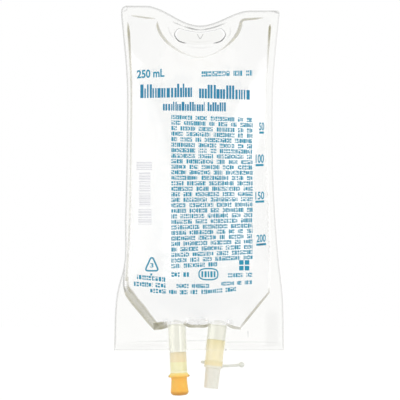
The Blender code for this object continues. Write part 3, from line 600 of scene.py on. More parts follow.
def port_matrix(x, tilt):
    """From a port's own frame, whose -Z runs down the tube, to the bag's."""
    return Matrix.Translation((x, 0.0, -MOUTH_DROP)) @ Matrix.Rotation(-tilt, 4, "Y")


def wrap_radius(diameter):
    return diameter / 2 + GAP


def mouth_half_width(diameter):
    """Half the width of film that leaves the weld's plane to pass over a tube."""
    return wrap_radius(diameter) / math.sin(WRAP_ANGLE)


def mouth_reach(tilt, diameter):
    """How far that width reaches along the chamber's floor line from a tilted port."""
    return mouth_half_width(diameter) / math.cos(tilt)


def wrap_height(off_axis, diameter):
    """Height of the film over a tube: round over its crest, then straight to the weld."""
    radius = wrap_radius(diameter)
    straight = np.clip((radius / math.sin(WRAP_ANGLE) - off_axis) * math.tan(WRAP_ANGLE), 0, None)
    crest = np.sqrt(np.clip(radius * radius - off_axis * off_axis, 0, None))
    return np.where(off_axis < radius * math.sin(WRAP_ANGLE), crest, straight)


def off_axis_distance(points, x, tilt):
    """How far each (x, z) point lies from a port's axis, seen from the front."""
    across, below = points[:, 0] - x, points[:, 1] + MOUTH_DROP
    return np.abs(across * math.cos(tilt) + below * math.sin(tilt))


def port_lines(x, tilt, diameter):
    """Lines down the film along a tube, where its wrapped section turns."""
    radius = wrap_radius(diameter)
    offsets = [share * radius for share in WRAP_LINES]
    offsets += [radius * math.sin(WRAP_ANGLE), mouth_half_width(diameter)]
    rows = max(2, round(SKIRT_LENGTH / FILM_STEP))
    falls = [SKIRT_LENGTH * k / rows for k in range(rows + 1)]
    lines = []
    for offset in offsets + [-offset for offset in offsets[1:]]:
        head = x + offset / math.cos(tilt)
        lines.append([(head + math.tan(tilt) * fall, -MOUTH_DROP - fall) for fall in falls])
    return lines


# Film surface


def inside(points, outline):
    """Which points lie inside a closed outline."""
    x, z = points[:, 0], points[:, 1]
    result = np.zeros(len(points), dtype=bool)
    for (x0, z0), (x1, z1) in zip(outline, outline[1:] + outline[:1]):
        if z0 != z1:
            crosses = (z0 > z) != (z1 > z)
            result ^= crosses & (x < (x1 - x0) * (z - z0) / (z1 - z0) + x0)
    return result


def spread_points(fixed):
    """A staggered grid of points over the film, none too near the fixed ones."""
    row_height = FILM_STEP * math.sqrt(3) / 2
    top = max(SHOULDER_RISE)
    rows = int((FILM_DROP + top) / row_height) + 1
    columns = int((WAIST_HALF + max(FOOT_OUT)) / FILM_STEP) + 1
    kept = []
    for row in range(rows):
        shift = 0.5 * (row % 2)
        z = top - row * row_height
        line = np.array([((column + shift) * FILM_STEP, z) for column in range(-columns, columns + 1)])
        near = fixed[np.abs(fixed[:, 1] - z) < FILM_STEP]
        if len(near):
            nearest = np.min(np.linalg.norm(line[:, None, :] - near[None, :, :], axis=2), axis=1)
            line = line[nearest > CLEAR_STEPS * FILM_STEP]
        kept.append(line)
    return np.vstack(kept)


def triangulate():
    """The film's flat pattern: points, triangles, and which triangles lie in the chamber."""
    sheet, chamber, slot = film_outline(), chamber_outline(), slot_outline()
    points, edges = [], []
    welds = [line for port in PORTS for line in port_lines(*port)]
    for lines, open_ends in (((sheet, chamber, slot), 0), (welds, 1)):
        for line in lines:
            first = len(points)
            points += line
            edges += [(first + i, first + (i + 1) % len(line)) for i in range(len(line) - open_ends)]
    spread = spread_points(np.array(points))
    spread = spread[inside(spread, sheet) & ~inside(spread, slot)]
    for x, tilt, diameter in PORTS:
        near = off_axis_distance(spread, x, tilt) < mouth_half_width(diameter) * WRAP_MARGIN
        spread = spread[~(near & (spread[:, 1] < -MOUTH_DROP))]
    vectors = [Vector(point) for point in points] + [Vector(point) for point in spread.tolist()]
    result = delaunay_2d_cdt(vectors, edges, [], 0, MERGED)
    flat = np.array([tuple(point) for point in result[0]])
    triangles = np.array(result[2])
    centres = flat[triangles].mean(axis=1)
    kept = inside(centres, sheet) & ~inside(centres, slot)
    triangles, centres = triangles[kept], centres[kept]
    return flat, triangles, inside(centres, chamber)


def wrapped_heights(flat):
    """How far the skirt stands off the weld's plane, where it passes over the tubes."""
    heights = np.zeros(len(flat))
    below = flat[:, 1] <= -MOUTH_DROP + MERGED
    for x, tilt, diameter in PORTS:
        wrap = wrap_height(off_axis_distance(flat, x, tilt), diameter)
        heights = np.where(below, np.maximum(heights, wrap), heights)
    return heights


def solved(rows, columns, values, free, right_side):
    """Solves the sparse symmetric system on the free points by conjugate gradients."""
    count = len(right_side)
    diagonal = np.bincount(rows, values * (rows == columns), minlength=count)

    def times(vector):
        return np.bincount(rows, values * vector[columns], minlength=count) * free

    answer = np.zeros(count)
    left_over = right_side * free
    scaled = left_over / np.where(free, diagonal, 1.0)
    direction = scaled.copy()
    power = left_over @ scaled
    goal = power * SOLVED_TO
    for _ in range(MOST_ROUNDS):
        product = times(direction)
        step = power / (direction @ product)
        answer += step * direction
        left_over -= step * product
        scaled = left_over / np.where(free, diagonal, 1.0)
        new_power = left_over @ scaled
        if new_power < goal:
            break
        direction = scaled + direction * new_power / power
        power = new_power
    return answer


def film_surface():
    """The front film's inner surface, with heights measured towards the viewer.

    In the chamber it is a stretched membrane under the solution's pressure, which grows
    downwards, and its swell is as large as makes each film hold half of FILL_VOLUME.
    """
    flat, triangles, in_chamber = triangulate()
    heights = wrapped_heights(flat)
    wet = triangles[in_chamber]
    on_weld = np.zeros(len(flat), dtype=bool)
    on_weld[triangles[~in_chamber].ravel()] = True
    free = np.zeros(len(flat), dtype=bool)
    free[wet.ravel()] = True
    free &= ~on_weld

    corners = flat[wet]
    edges = np.roll(corners, -1, axis=1) - np.roll(corners, 1, axis=1)
    areas = np.abs(edges[:, 0, 0] * edges[:, 1, 1] - edges[:, 0, 1] * edges[:, 1, 0]) / 2
    pressure = HEAD_AT_TOP + SHOULDER_RISE[LEFT] - corners[:, :, 1].mean(axis=1)
    load = np.zeros(len(flat))
    share = np.zeros(len(flat))
    rows, columns, values = [], [], []
    for i in range(3):
        load += np.bincount(wet[:, i], pressure * areas / 3, minlength=len(flat))
        share += np.bincount(wet[:, i], areas / 3, minlength=len(flat))
        for j in range(3):
            rows.append(wet[:, i])
            columns.append(wet[:, j])
            values.append(np.sum(edges[:, i] * edges[:, j], axis=1) / (4 * areas))
    rows, columns, values = (np.concatenate(part) for part in (rows, columns, values))
    pulled = -np.bincount(rows, values * (heights * ~free)[columns], minlength=len(flat))
    slack = solved(rows, columns, values, free, pulled)
    swell = solved(rows, columns, values, free, load)
    held = share @ (heights * ~free) + share @ slack
    heights[free] = (slack + swell * (FILL_VOLUME / 2 - held) / (share @ swell))[free]
    return flat, triangles, in_chamber, heights


# Making meshes


def mesh_object(name, bm, finish):
    mesh = bpy.data.meshes.new(name)
    bm.to_mesh(mesh)
    bm.free()
    return placed(name, mesh, finish)


def placed(name, mesh, finish):
    mesh.materials.append(finish)
    obj = bpy.data.objects.new(name, mesh)
    bpy.context.scene.collection.objects.link(obj)
    return obj


def smooth(obj, angle=SHARP_ANGLE):
    obj.data.shade_smooth()
    obj.data.set_sharp_from_angle(angle=angle)


def piece(obj, body, slot, *replaced):
    """The piece rides on its body and stands for CAD nodes, which it hides. Its slot is not used."""
    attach(obj, body)
    if replaced:
        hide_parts(*replaced)


def film(name, side, surface, finish):
    """One film, thickened outwards from its inner surface.

    Returned with it is its outer skin, which prints and marks are laid on.
    """
    flat, triangles, _, heights = surface
    inner = np.column_stack((flat[:, 0], side * (heights + LIQUID_CLEARANCE), flat[:, 1]))
    corners = inner[triangles]
    across = np.cross(corners[:, 1] - corners[:, 0], corners[:, 2] - corners[:, 0])
    turned_in = across[:, 1] * side < 0
    triangles = np.where(turned_in[:, None], triangles[:, ::-1], triangles)
    across = np.where(turned_in[:, None], -across, across)
    normals = np.zeros_like(inner)
    for i in range(3):
        np.add.at(normals, triangles[:, i], across)
    normals /= np.maximum(np.linalg.norm(normals, axis=1), NO_LENGTH)[:, None]
    outer = inner + normals * FILM

    directed = np.vstack([triangles[:, [i, (i + 1) % 3]] for i in range(3)])
    edges = np.sort(directed, axis=1)
    _, first, uses = np.unique(edges, axis=0, return_index=True, return_counts=True)
    rim = directed[first[uses == 1]]
    count = len(inner)
    faces = [tuple(face) for face in (triangles + count).tolist()]
    faces += [tuple(face) for face in triangles[:, ::-1].tolist()]
    faces += [(b + count, a + count, a, b) for a, b in rim.tolist()]
    mesh = bpy.data.meshes.new(name)
    mesh.from_pydata(np.vstack((inner, outer)).tolist(), [], faces)
    mesh.validate()
    obj = placed(name, mesh, finish)
    bm = bmesh.new()
    bm.from_mesh(mesh)
    bmesh.ops.delete(bm, geom=[vert for vert in bm.verts if not vert.link_faces], context="VERTS")
    bm.to_mesh(mesh)
    bm.free()
    smooth(obj, FILM_SMOOTH)
    skin = BVHTree.FromPolygons(outer.tolist(), triangles.tolist())
    return obj, skin


def solution(surface, finish):
    """The liquid in the chamber and in both tubes, each a closed body of its own."""
    flat, triangles, in_chamber, heights = surface
    bm = bmesh.new()
    wet = triangles[in_chamber]
    wet = wet[heights[wet].max(axis=1) > 0]
    verts = {}
    for side in (FRONT, BACK):
        for index in np.unique(wet):
            x, z = flat[index]
            height = heights[index]
            if height == 0.0 and side == BACK:
                verts[side, index] = verts[FRONT, index]
            else:
                verts[side, index] = bm.verts.new((x, side * height, z))
        for a, b, c in wet:
            bm.faces.new((verts[side, a], verts[side, b], verts[side, c]))
    open_edges = [edge for edge in bm.edges if edge.is_boundary]
    bmesh.ops.holes_fill(bm, edges=open_edges)
    bmesh.ops.recalc_face_normals(bm, faces=bm.faces)
    walls = (INJECTION_TUBE_WALL, OUTLET_TUBE_WALL)
    depths = (SLEEVE_DEPTH, BUSH_DEPTH)
    for (x, tilt, diameter), wall, depth in zip(PORTS, walls, depths):
        top = tube_top(diameter, tilt)
        length = depth - GAP + top
        radius = diameter / 2 - wall + BOND_OVERLAP
        place = port_matrix(x, tilt) @ Matrix.Translation((0, 0, top - length / 2))
        bmesh.ops.create_cone(bm, cap_ends=True, segments=ROUND_STEPS, radius1=radius, radius2=radius,
                              depth=length, matrix=place)
    obj = mesh_object("clear_liquid", bm, finish)
    smooth(obj)
    return obj


def circle(radius, count):
    """(x, y) points round the origin."""
    angles = [2 * math.pi * k / count for k in range(count)]
    return [(radius * math.cos(angle), radius * math.sin(angle)) for angle in angles]


def bridge(bm, rings, closed=False):
    """Faces from each ring of vertices to the next, and from the last to the first if closed."""
    for upper, lower in zip(rings, rings[1:] + rings[:closed]):
        for k in range(len(upper)):
            after = (k + 1) % len(upper)
            corners = tuple(dict.fromkeys((upper[k], upper[after], lower[after], lower[k])))
            if len(corners) > 2:
                bm.faces.new(corners)


def turned(name, profile, finish, place, closed=False):
    """A piece turned about its own Z from (radius, z) points that run down its outer side."""
    bm = bmesh.new()
    rings = []
    for radius, z in profile:
        if radius == 0.0:
            rings.append([bm.verts.new((0.0, 0.0, z))] * ROUND_STEPS)
        else:
            rings.append([bm.verts.new((x, y, z)) for x, y in circle(radius, ROUND_STEPS)])
    bridge(bm, rings, closed)
    bmesh.ops.recalc_face_normals(bm, faces=bm.faces)
    obj = mesh_object(name, bm, finish)
    obj.matrix_world = place
    smooth(obj)
    return obj


def arc(centre_r, centre_z, radius, start, end):
    """Profile points on a circle, by angles from +r towards +z."""
    points = []
    for k in range(ARC_STEPS + 1):
        angle = start + (end - start) * k / ARC_STEPS
        points.append((centre_r + radius * math.cos(angle), centre_z + radius * math.sin(angle)))
    return points


def round_top(radius, z, edge):
    """The rounded outer corner where a profile leaves a level top to run down."""
    return arc(radius - edge, z - edge, edge, math.pi / 2, 0.0)


def round_foot(radius, z, edge):
    """The rounded outer corner where a profile that runs down meets a level foot."""
    return arc(radius - edge, z + edge, edge, 0.0, -math.pi / 2)


def tube_top(diameter, tilt):
    """The tilted tube starts just clear of the chamber's floor line."""
    return -(GAP + diameter / 2 * abs(math.sin(tilt))) / math.cos(tilt)


def port_tube(name, port, wall, length, materials):
    """A port's clear tube. Returns its frame, its end, and the radii that fit and fill its bore."""
    x, tilt, diameter = port
    place, top = port_matrix(x, tilt), tube_top(diameter, tilt)
    outer, inner = diameter / 2, diameter / 2 - wall
    profile = [(outer, top), (outer, top - length), (inner, top - length), (inner, top)]
    clear = turned(f"{name}_tube", profile, materials["tube"], place, closed=True)
    piece(clear, "bag", "clear_tube", f"{name}_port_tube")
    return place, top - length, inner - GAP, inner + BOND_OVERLAP


def injection_port(materials):
    place, tube_end, fit, bonded = port_tube("injection", INJECTION, INJECTION_TUBE_WALL,
                                             INJECTION_TUBE_LENGTH, materials)
    sleeve_end = -SLEEVE_DEPTH - SLEEVE_LENGTH
    middle = (-SLEEVE_DEPTH + sleeve_end) / 2
    bore = fit - SLEEVE_WALL
    sleeve = [(0.0, middle + MEMBRANE / 2), (bore, middle + MEMBRANE / 2), (bore, -SLEEVE_DEPTH)]
    sleeve += [(bonded, -SLEEVE_DEPTH), (bonded, sleeve_end), (bore, sleeve_end)]
    sleeve += [(bore, middle - MEMBRANE / 2), (0.0, middle - MEMBRANE / 2)]
    membrane_sleeve = turned("membrane_sleeve", sleeve, materials["sleeve"], place)
    piece(membrane_sleeve, "bag", "amber_sleeve", "injection_membrane_sleeve")

    shoulder = INJECTION_TUBE_DIAMETER / 2
    flange_end = tube_end - GAP - HOUSING_FLANGE
    bore = fit - HOUSING_WALL
    edge = HOUSING_FLANGE / 3
    housing = [(bore, sleeve_end + BOND_OVERLAP), (bonded, sleeve_end + BOND_OVERLAP)]
    housing += [(bonded, tube_end + BOND_OVERLAP)]
    housing += round_top(shoulder, tube_end + BOND_OVERLAP, edge)
    housing += round_foot(shoulder, flange_end, edge)
    housing += [(bore, flange_end)]
    ring = turned("rubber_housing_ring", housing, materials["housing"], place, closed=True)
    piece(ring, "bag", "pale_housing", "injection_site_housing")

    stem = bore - GAP
    cap_top = flange_end - GAP
    lip, lip_z = CAP_FLANGE_DIAMETER / 2, cap_top - LIP_DROOP
    waist, bulb = CAP_WAIST_DIAMETER / 2, CAP_BULB_DIAMETER / 2
    waist_top = cap_top - CAP_FLANGE - CAP_WAIST_DROP
    cap_end = cap_top - CAP_LENGTH
    bulb_round_top = cap_end + CAP_BULB_ROUND
    side = [
        (shoulder, cap_top),
        (lip - LIP_TAPER, cap_top - LIP_DROOP / 2),
        (lip, lip_z),
        (lip - LIP_ROUND, lip_z - LIP_EDGE),
        (lip - LIP_HOLLOW, lip_z - LIP_EDGE * HOLLOW_SHARE),
        (waist + WAIST_FLARE, waist_top + LIP_TAPER),
        (waist, waist_top - CAP_WAIST_LENGTH / 2),
        (waist + WAIST_LEAN, waist_top - CAP_WAIST_LENGTH),
        (bulb - BULB_DRAFT, bulb_round_top + BULB_RISE),
        (bulb, bulb_round_top),
    ]
    cap = [(0.0, cap_top + CAP_STEM_LENGTH), (stem, cap_top + CAP_STEM_LENGTH)]
    cap += [(stem, flange_end + BOND_OVERLAP), (shoulder, flange_end + BOND_OVERLAP)]
    cap += smooth_through(side, PROFILE_STEP)[1:]
    cap += round_foot(bulb, cap_end, CAP_BULB_ROUND)
    cap += [(bulb - 2 * CAP_BULB_ROUND + BULB_FOOT, cap_end - BULB_DRAFT), (0.0, cap_end - CAP_DOME)]
    rubber = turned("rubber_site_cap", cap, materials["orange"], place)
    piece(rubber, "bag", "orange_rubber", "injection_site_cap")


def swept(bm, points, radii):
    """A round bar with closed ends, whose rings follow the points."""
    rings = []
    for i, point in enumerate(points):
        ahead = points[min(i + 1, len(points) - 1)] - points[max(i - 1, 0)]
        turn = ahead.to_track_quat("Z", "Y")
        spokes = [Vector((x, y, 0.0)) for x, y in circle(radii[i], ROD_SEGMENTS)]
        rings.append([bm.verts.new(point + turn @ spoke) for spoke in spokes])
    bridge(bm, rings)
    bm.faces.new(rings[0][::-1])
    bm.faces.new(rings[-1])


def pull_tail(root, rim, height, finish, place):
    """The cover's nub on the left, and on the right its pull tail with a ball at the end."""
    bm = bmesh.new()
    nub_start = place @ Vector((-root, 0.0, height + NUB_LIFT))
    span = place @ Vector((-rim - NUB_REACH, 0.0, height + NUB_LIFT)) - nub_start
    radius, tip = NUB_DIAMETER / 2, NUB_DIAMETER / 2 * NUB_TAPER
    shares = list(NUB_SHARES)
    radii = [radius + (tip - radius) * share for share in shares]
    for k in range(NUB_STEPS + 1):
        angle = math.pi / 2 * k / NUB_STEPS
        shares.append(1.0 - tip * (1 - math.sin(angle)) / span.length)
        radii.append(tip * max(math.cos(angle), NUB_TIP))
    swept(bm, [nub_start + span * share for share in shares], radii)

    tail_start = place @ Vector((root, 0.0, height - TAIL_DROP))
    reach = rim - root + TAIL_REACH
    span = Vector((math.cos(TAIL_RISE), 0.0, math.sin(TAIL_RISE))) * reach
    sag = Vector((0.0, 0.0, -TAIL_SAG))
    ball = TAIL_BALL_DIAMETER / 2 * TAIL_SLIM
    shares = [share for share, _ in TAIL_SHAPE]
    radii = [TAIL_DIAMETER / 2 * TAIL_SLIM * grow for _, grow in TAIL_SHAPE]
    for k in range(BALL_STEPS + 1):
        angle = BALL_START + BALL_TURN * k / BALL_STEPS
        shares.append(1.0 + ball * math.sin(angle) / reach)
        radii.append(ball * max(math.cos(angle), BALL_TIP))
    path = [tail_start + span * share + sag * math.sin(math.pi * min(share, 1.0)) for share in shares]
    swept(bm, path, radii)
    obj = mesh_object("cover_pull_tail", bm, finish)
    smooth(obj)
    return obj


def outlet_port(materials):
    place, tube_end, fit, bonded = port_tube("outlet", OUTLET, OUTLET_TUBE_WALL,
                                             OUTLET_TUBE_LENGTH, materials)
    collar, neck = BUSH_COLLAR_DIAMETER / 2, BUSH_NECK_DIAMETER / 2
    collar_top = tube_end - GAP
    collar_end = collar_top - BUSH_COLLAR
    neck_end = collar_end - BUSH_NECK_LENGTH
    bore = neck - BUSH_WALL
    shelf = -BUSH_DEPTH - 2 * MEMBRANE - GAP
    edge = BUSH_WALL / 3
    bush = [(bonded, -BUSH_DEPTH), (bonded, collar_top)]
    bush += round_top(collar, collar_top, edge)
    bush += round_foot(collar, collar_end, edge)
    bush += [(neck, collar_end), (neck, neck_end + edge), (neck - edge, neck_end), (bore, neck_end)]
    bush += [(bore, shelf), (fit - BUSH_WALL, shelf), (fit - BUSH_WALL, -BUSH_DEPTH)]
    spike_bush = turned("spike_bush", bush, materials["bush"], place, closed=True)
    piece(spike_bush, "bag", "straw_bush", "outlet_spike_bush")

    rim = COVER_COLLAR_DIAMETER / 2
    socket, socket_floor = collar + GAP, collar_end - GAP
    sleeve_top = socket_floor - COVER_WALL
    sleeve_end = sleeve_top - COVER_SLEEVE_LENGTH
    upper, lower = COVER_TOP_DIAMETER / 2, COVER_END_DIAMETER / 2
    edge = COVER_WALL / 2
    cover = [(0.0, sleeve_end + COVER_FLOOR), (lower - COVER_WALL, sleeve_end + COVER_FLOOR)]
    cover += [(neck + GAP, neck_end), (neck + GAP, socket_floor)]
    cover += [(socket, socket_floor), (socket, collar_top)]
    cover += round_top(rim, collar_top, edge / 2)
    cover += round_foot(rim, sleeve_top, edge)
    cover += arc(upper + edge, sleeve_top - edge, edge, math.pi / 2, math.pi)
    cover += round_foot(lower, sleeve_end, edge)
    cover += [(0.0, sleeve_end)]
    body = turned("pull_off_cover", cover, materials["cover"], place)
    piece(body, "cover", "milky_cover", "outlet_cover")
    tail = pull_tail((socket + rim) / 2, rim, (collar_top + sleeve_top) / 2, materials["tail"], place)
    piece(tail, "cover", "milky_cover")


# Painted shade marks and print, laid on a film's outer skin


def on_skin(skin, x, z, side):
    """The place on the skin that a viewer square to the bag sees at (x, z)."""
    eye = Vector((0.0, side * CAMERA_DISTANCE, EYE_HEIGHT))
    target = Vector((x, 0.0, z))
    place, normal, _, _ = skin.ray_cast(eye, (target - eye).normalized())
    if place is None:
        place, normal, _, _ = skin.find_nearest(target)
    if normal.y * side < 0:
        normal = -normal
    return place + normal * PROUD


def part_of(outline, start, end):
    """The points of a closed outline from the one nearest the start to that nearest the end."""
    points = np.array(outline)
    first = int(np.argmin(np.linalg.norm(points - start, axis=1)))
    last = int(np.argmin(np.linalg.norm(points - end, axis=1)))
    if last <= first:
        last += len(points)
    return points[np.arange(first, last + 1) % len(points)]


def streak(line, stations, inward=0.0):
    """(x, z, width, strength) points along a line, moved to its left by a share of the width."""
    line = np.array(line)
    ahead = np.gradient(line, axis=0)
    ahead /= np.linalg.norm(ahead, axis=1)[:, None]
    run = np.concatenate(([0.0], np.cumsum(np.linalg.norm(np.diff(line, axis=0), axis=1))))
    shares = run / run[-1]
    known = np.array(stations)
    widths = np.interp(shares, known[:, 0], known[:, 1]) * MM
    strengths = np.interp(shares, known[:, 0], known[:, 2])
    left = np.column_stack((-ahead[:, 1], ahead[:, 0]))
    line = line + left * (widths * inward)[:, None]
    return np.column_stack((line, left, widths, strengths))


def drawn_streaks(lines, across):
    """Streaks along smooth lines through points that are given in millimetres."""
    found = []
    for points, stations in lines:
        places = [(x * MM, z * MM) for x, z in points]
        run = smooth_through(places, LINE_STEP) + [places[-1]]
        found.append((streak(run, stations), across))
    return found


def marks(name, streaks, skin, side, finish, fade=1.0):
    """One piece of soft-edged strips of painted shade, whose see-through is held in its strength
    attribute.
    """
    bm = bmesh.new()
    layer = bm.verts.layers.float.new("strength")
    for points, profile in streaks:
        rows = []
        for x, z, left_x, left_z, width, strength in points:
            row = []
            for across, share in profile:
                spot = on_skin(skin, x + left_x * width * across, z + left_z * width * across, side)
                vert = bm.verts.new(spot)
                vert[layer] = strength * share * fade
                row.append(vert)
            rows.append(row)
        for above, below in zip(rows, rows[1:]):
            for k in range(len(above) - 1):
                bm.faces.new((above[k], above[k + 1], below[k + 1], below[k]))
    obj = mesh_object(name, bm, finish)
    obj.data.shade_smooth()
    return obj


def edge_shade_streaks():
    """Painted shade: soft dark lines along the film's cut edges, the slot's edges and the welds' creases.
    """
    film_line, slot_line = film_outline(), slot_outline(LINE_STEP / 2)
    edges = streak(film_line + film_line[:1], FILM_SHADES)
    slot = streak(slot_line + slot_line[:1], SLOT_SHADES)
    return [(edges, EDGE_ACROSS), (slot, STRIP_ACROSS)] + drawn_streaks(CREASE_SHADES, STRIP_ACROSS)


def refraction_shade_streaks():
    """Painted shade where the liquid's steep side bends the light away, inside the chamber's weld, and in
    dark bands.
    """
    chamber_line = chamber_outline()
    found = []
    for start, end, inward, stations in REFRACTION_SHADES:
        line = part_of(chamber_line, np.array(start) * MM, np.array(end) * MM)
        found.append((streak(line, stations, inward), STRIP_ACROSS))
    return found + drawn_streaks(SHADE_BANDS, BAND_ACROSS)


def add_patch(bm, skin, upper, lower):
    """A patch of ink between two lines of (x, z) points."""
    tops = [bm.verts.new(on_skin(skin, x, z, FRONT)) for x, z in upper]
    feet = [bm.verts.new(on_skin(skin, x, z, FRONT)) for x, z in lower]
    for k in range(len(tops) - 1):
        bm.faces.new((tops[k], feet[k], feet[k + 1], tops[k + 1]))


def add_block(bm, skin, base, left, right, foot, head):
    """A block of ink standing on a base line, in metres along and above it."""
    count = max(1, round((right - left) / PRINT_STEP))
    places = [left + (right - left) * k / count for k in range(count + 1)]
    heights = np.interp(places, base[:, 0], base[:, 1])
    line = list(zip(places, heights))
    add_patch(bm, skin, [(x, z + head) for x, z in line], [(x, z + foot) for x, z in line])


def add_box(bm, skin, left, right, foot, head):
    """A level block of ink, in millimetres."""
    level = np.array(((left, foot), (right, foot))) * MM
    add_block(bm, skin, level, left * MM, right * MM, 0.0, (head - foot) * MM)


def add_stroke(bm, skin, points, width, closed=False):
    """A line of ink through (x, z) points."""
    line = np.array(points)
    if closed:
        ahead = np.roll(line, -1, axis=0) - np.roll(line, 1, axis=0)
    else:
        ahead = np.gradient(line, axis=0)
    ahead /= np.linalg.norm(ahead, axis=1)[:, None]
    left = np.column_stack((-ahead[:, 1], ahead[:, 0])) * width / 2
    upper, lower = line + left, line - left
    if closed:
        upper, lower = np.vstack((upper, upper[:1])), np.vstack((lower, lower[:1]))
    add_patch(bm, skin, upper.tolist(), lower.tolist())


def word_spans(rng, start, end, pitch):
    """Spans of made-up words that fill a line from end to end."""
    places = max(2, round((end - start) / pitch))
    lengths = []
    left = places
    while left > 0:
        length = min(left, rng.randint(*WORD_LENGTHS))
        lengths.append(length)
        left -= length + 1
    if lengths[-1] == 1 and len(lengths) > 1:
        lengths.pop()
        lengths[-1] += 2
    used = sum(lengths) + len(lengths) - 1
    step = (end - start) / used
    spans, at = [], start
    for length in lengths:
        spans.append((at, at + step * length - step * WORD_GAP))
        at += step * (length + 1)
    return spans


def add_false_word(bm, skin, rng, base, start, end, height, stroke, tall=1.0, breaks=BAR_BREAKS):
    """A word's place, filled with uneven upright bars, broken here and there: no letters."""
    left = start
    while left < end - stroke * SLIVER:
        right = min(end, left + stroke * rng.choice(BAR_WIDTHS))
        top = height * (tall if rng.random() < TALL_SHARE else 1.0)
        for low, high in rng.choice(breaks):
            add_block(bm, skin, base, left, right, top * low, top * high)
        left = right + stroke * rng.choice(BAR_GAPS)


def add_false_line(bm, skin, rng, base, end, height, stroke, pitch):
    for start, stop in word_spans(rng, base[0, 0], end, pitch):
        add_false_word(bm, skin, rng, base, start, stop, height, stroke)


def body_text(bm, skin, rng):
    """The block of small lines down the middle of the label."""
    for row in range(TEXT_ROWS):
        centre = TEXT_TOP - TEXT_PITCH * row
        pixel_row = ORIGIN_ROW - centre / PIXEL
        slope = TEXT_TWIST * (pixel_row - TEXT_LEVEL_ROW)
        middle = (TEXT_LEFT + TEXT_RIGHT) / 2
        end = TEXT_LAST_END if row == TEXT_ROWS - 1 else TEXT_RIGHT
        foot = centre - TEXT_HEIGHT / 2
        base = np.array([(x, foot + slope * (x - middle)) for x in (TEXT_LEFT, TEXT_RIGHT)])
        add_false_line(bm, skin, rng, base, end, TEXT_HEIGHT, TEXT_STROKE, TEXT_GLYPH)


def headings(bm, skin, rng):
    """The two rows of bold bars at the label's head."""
    for base, words, height, stroke, tall in HEADINGS:
        for start, end in words:
            add_false_word(bm, skin, rng, np.array(base) * MM, start * MM, end * MM, height, stroke, tall,
                           (UNBROKEN,))


def small_print(bm, skin, rng):
    """The short lines round the block, and the plain shapes beside them."""
    for base, height, stroke, pitch in FALSE_LINES:
        base = np.array(base) * MM
        add_false_line(bm, skin, rng, base, base[-1, 0], height * MM, stroke * MM, pitch * MM)
    triangle = rounded([(x * MM, z * MM, TRIANGLE_CORNER * MM) for x, z in TRIANGLE])
    add_stroke(bm, skin, divided(triangle, PRINT_STEP), TRIANGLE_STROKE * MM, closed=True)
    add_words(bm, skin, *TRIANGLE_FIGURE)
    centre_x, centre_z, half_width, half_height = (value * MM for value in OVAL)
    ring = []
    for x, z in circle(1.0, OVAL_STEPS):
        across, up = signed_power(x, OVAL_POWER), signed_power(z, OVAL_POWER)
        ring.append((centre_x + half_width * across, centre_z + half_height * up))
    add_stroke(bm, skin, ring, OVAL_STROKE * MM, closed=True)
    for block in PLAIN_BLOCKS:
        add_box(bm, skin, *block)


def add_words(bm, skin, text, left, right, foot, head, slope=0.0, weight=FIGURE_WEIGHT):
    """Real lettering, drawn only for plain figures, fitted to a box in millimetres."""
    curve = bpy.data.curves.new("figures", "FONT")
    curve.body = text
    curve.offset = weight
    maker = bpy.data.objects.new("figures", curve)
    bpy.context.scene.collection.objects.link(maker)
    mesh = bpy.data.meshes.new_from_object(maker.evaluated_get(bpy.context.evaluated_depsgraph_get()))
    places = np.array([vert.co[:2] for vert in mesh.vertices])
    low, high = places.min(axis=0), places.max(axis=0)
    shares = (places - low) / (high - low)
    middle = (left + right) / 2
    verts = []
    for across, up in shares:
        x = left + (right - left) * across
        z = foot + (head - foot) * up + slope * (x - middle)
        verts.append(bm.verts.new(on_skin(skin, x * MM, z * MM, FRONT)))
    for polygon in mesh.polygons:
        corners = [verts[index] for index in polygon.vertices]
        if len(set(corners)) > 2:
            bm.faces.new(corners)
    bpy.data.objects.remove(maker)
    bpy.data.curves.remove(curve)
    bpy.data.meshes.remove(mesh)


def figures(bm, skin, _):
    """The bag's volume and its four graduations, each with its mark."""
    add_words(bm, skin, *VOLUME, VOLUME_SLOPE, VOLUME_WEIGHT)
    for text, left, right, foot, head, tick_left, tick_right, tick_z, slope in GRADUATIONS:
        add_words(bm, skin, text, left, right, foot, head, slope)
        tick = [(tick_left, tick_z), (tick_right, tick_z + slope * (tick_right - tick_left))]
        add_stroke(bm, skin, [(x * MM, z * MM) for x, z in tick], TICK_STROKE * MM)


def pale_bars(bm, skin, rng):
    """The faint grey bars on the left of the block."""
    for left, right, foot, head in PALE_BLOCKS:
        at = head
        while at > foot:
            thick = rng.uniform(*PALE_THICK)
            add_box(bm, skin, left, right, max(foot, at - thick), at)
            at -= thick + rng.uniform(*PALE_GAP)


def label(skin, materials):
    rng = random.Random(PRINT_SEED)
    for name, draw, ink in (
        ("print_text_block", body_text, "ink"),
        ("print_headings", headings, "bold ink"),
        ("print_lines_and_shapes", small_print, "ink"),
        ("print_volume_figures", figures, "ink"),
        ("print_pale_bars", pale_bars, "pale ink"),
    ):
        bm = bmesh.new()
        draw(bm, skin, rng)
        piece(mesh_object(name, bm, materials[ink]), "bag", "film")


def tongue(finish):
    """The flap of film left in the hanger slot, joined along its foot and leaning out a little."""
    foot = -SLOT_HEIGHT
    outline = slot_outline(LINE_STEP / 2)
    outline = [(x * TONGUE_FIT, foot + (z - foot) * TONGUE_FIT) for x, z in outline]
    bm = bmesh.new()
    rings = []
    for depth in (-FILM, FILM):
        places = [(x, depth - (z - foot) * math.tan(TONGUE_LEAN), z) for x, z in outline]
        rings.append([bm.verts.new(place) for place in places])
    bridge(bm, rings)
    bm.faces.new(rings[0])
    bm.faces.new(rings[1][::-1])
    bmesh.ops.recalc_face_normals(bm, faces=bm.faces)
    skin = BVHTree.FromBMesh(bm)
    obj = mesh_object("slot_tongue", bm, finish)
    smooth(obj)
    return obj, skin


# Materials


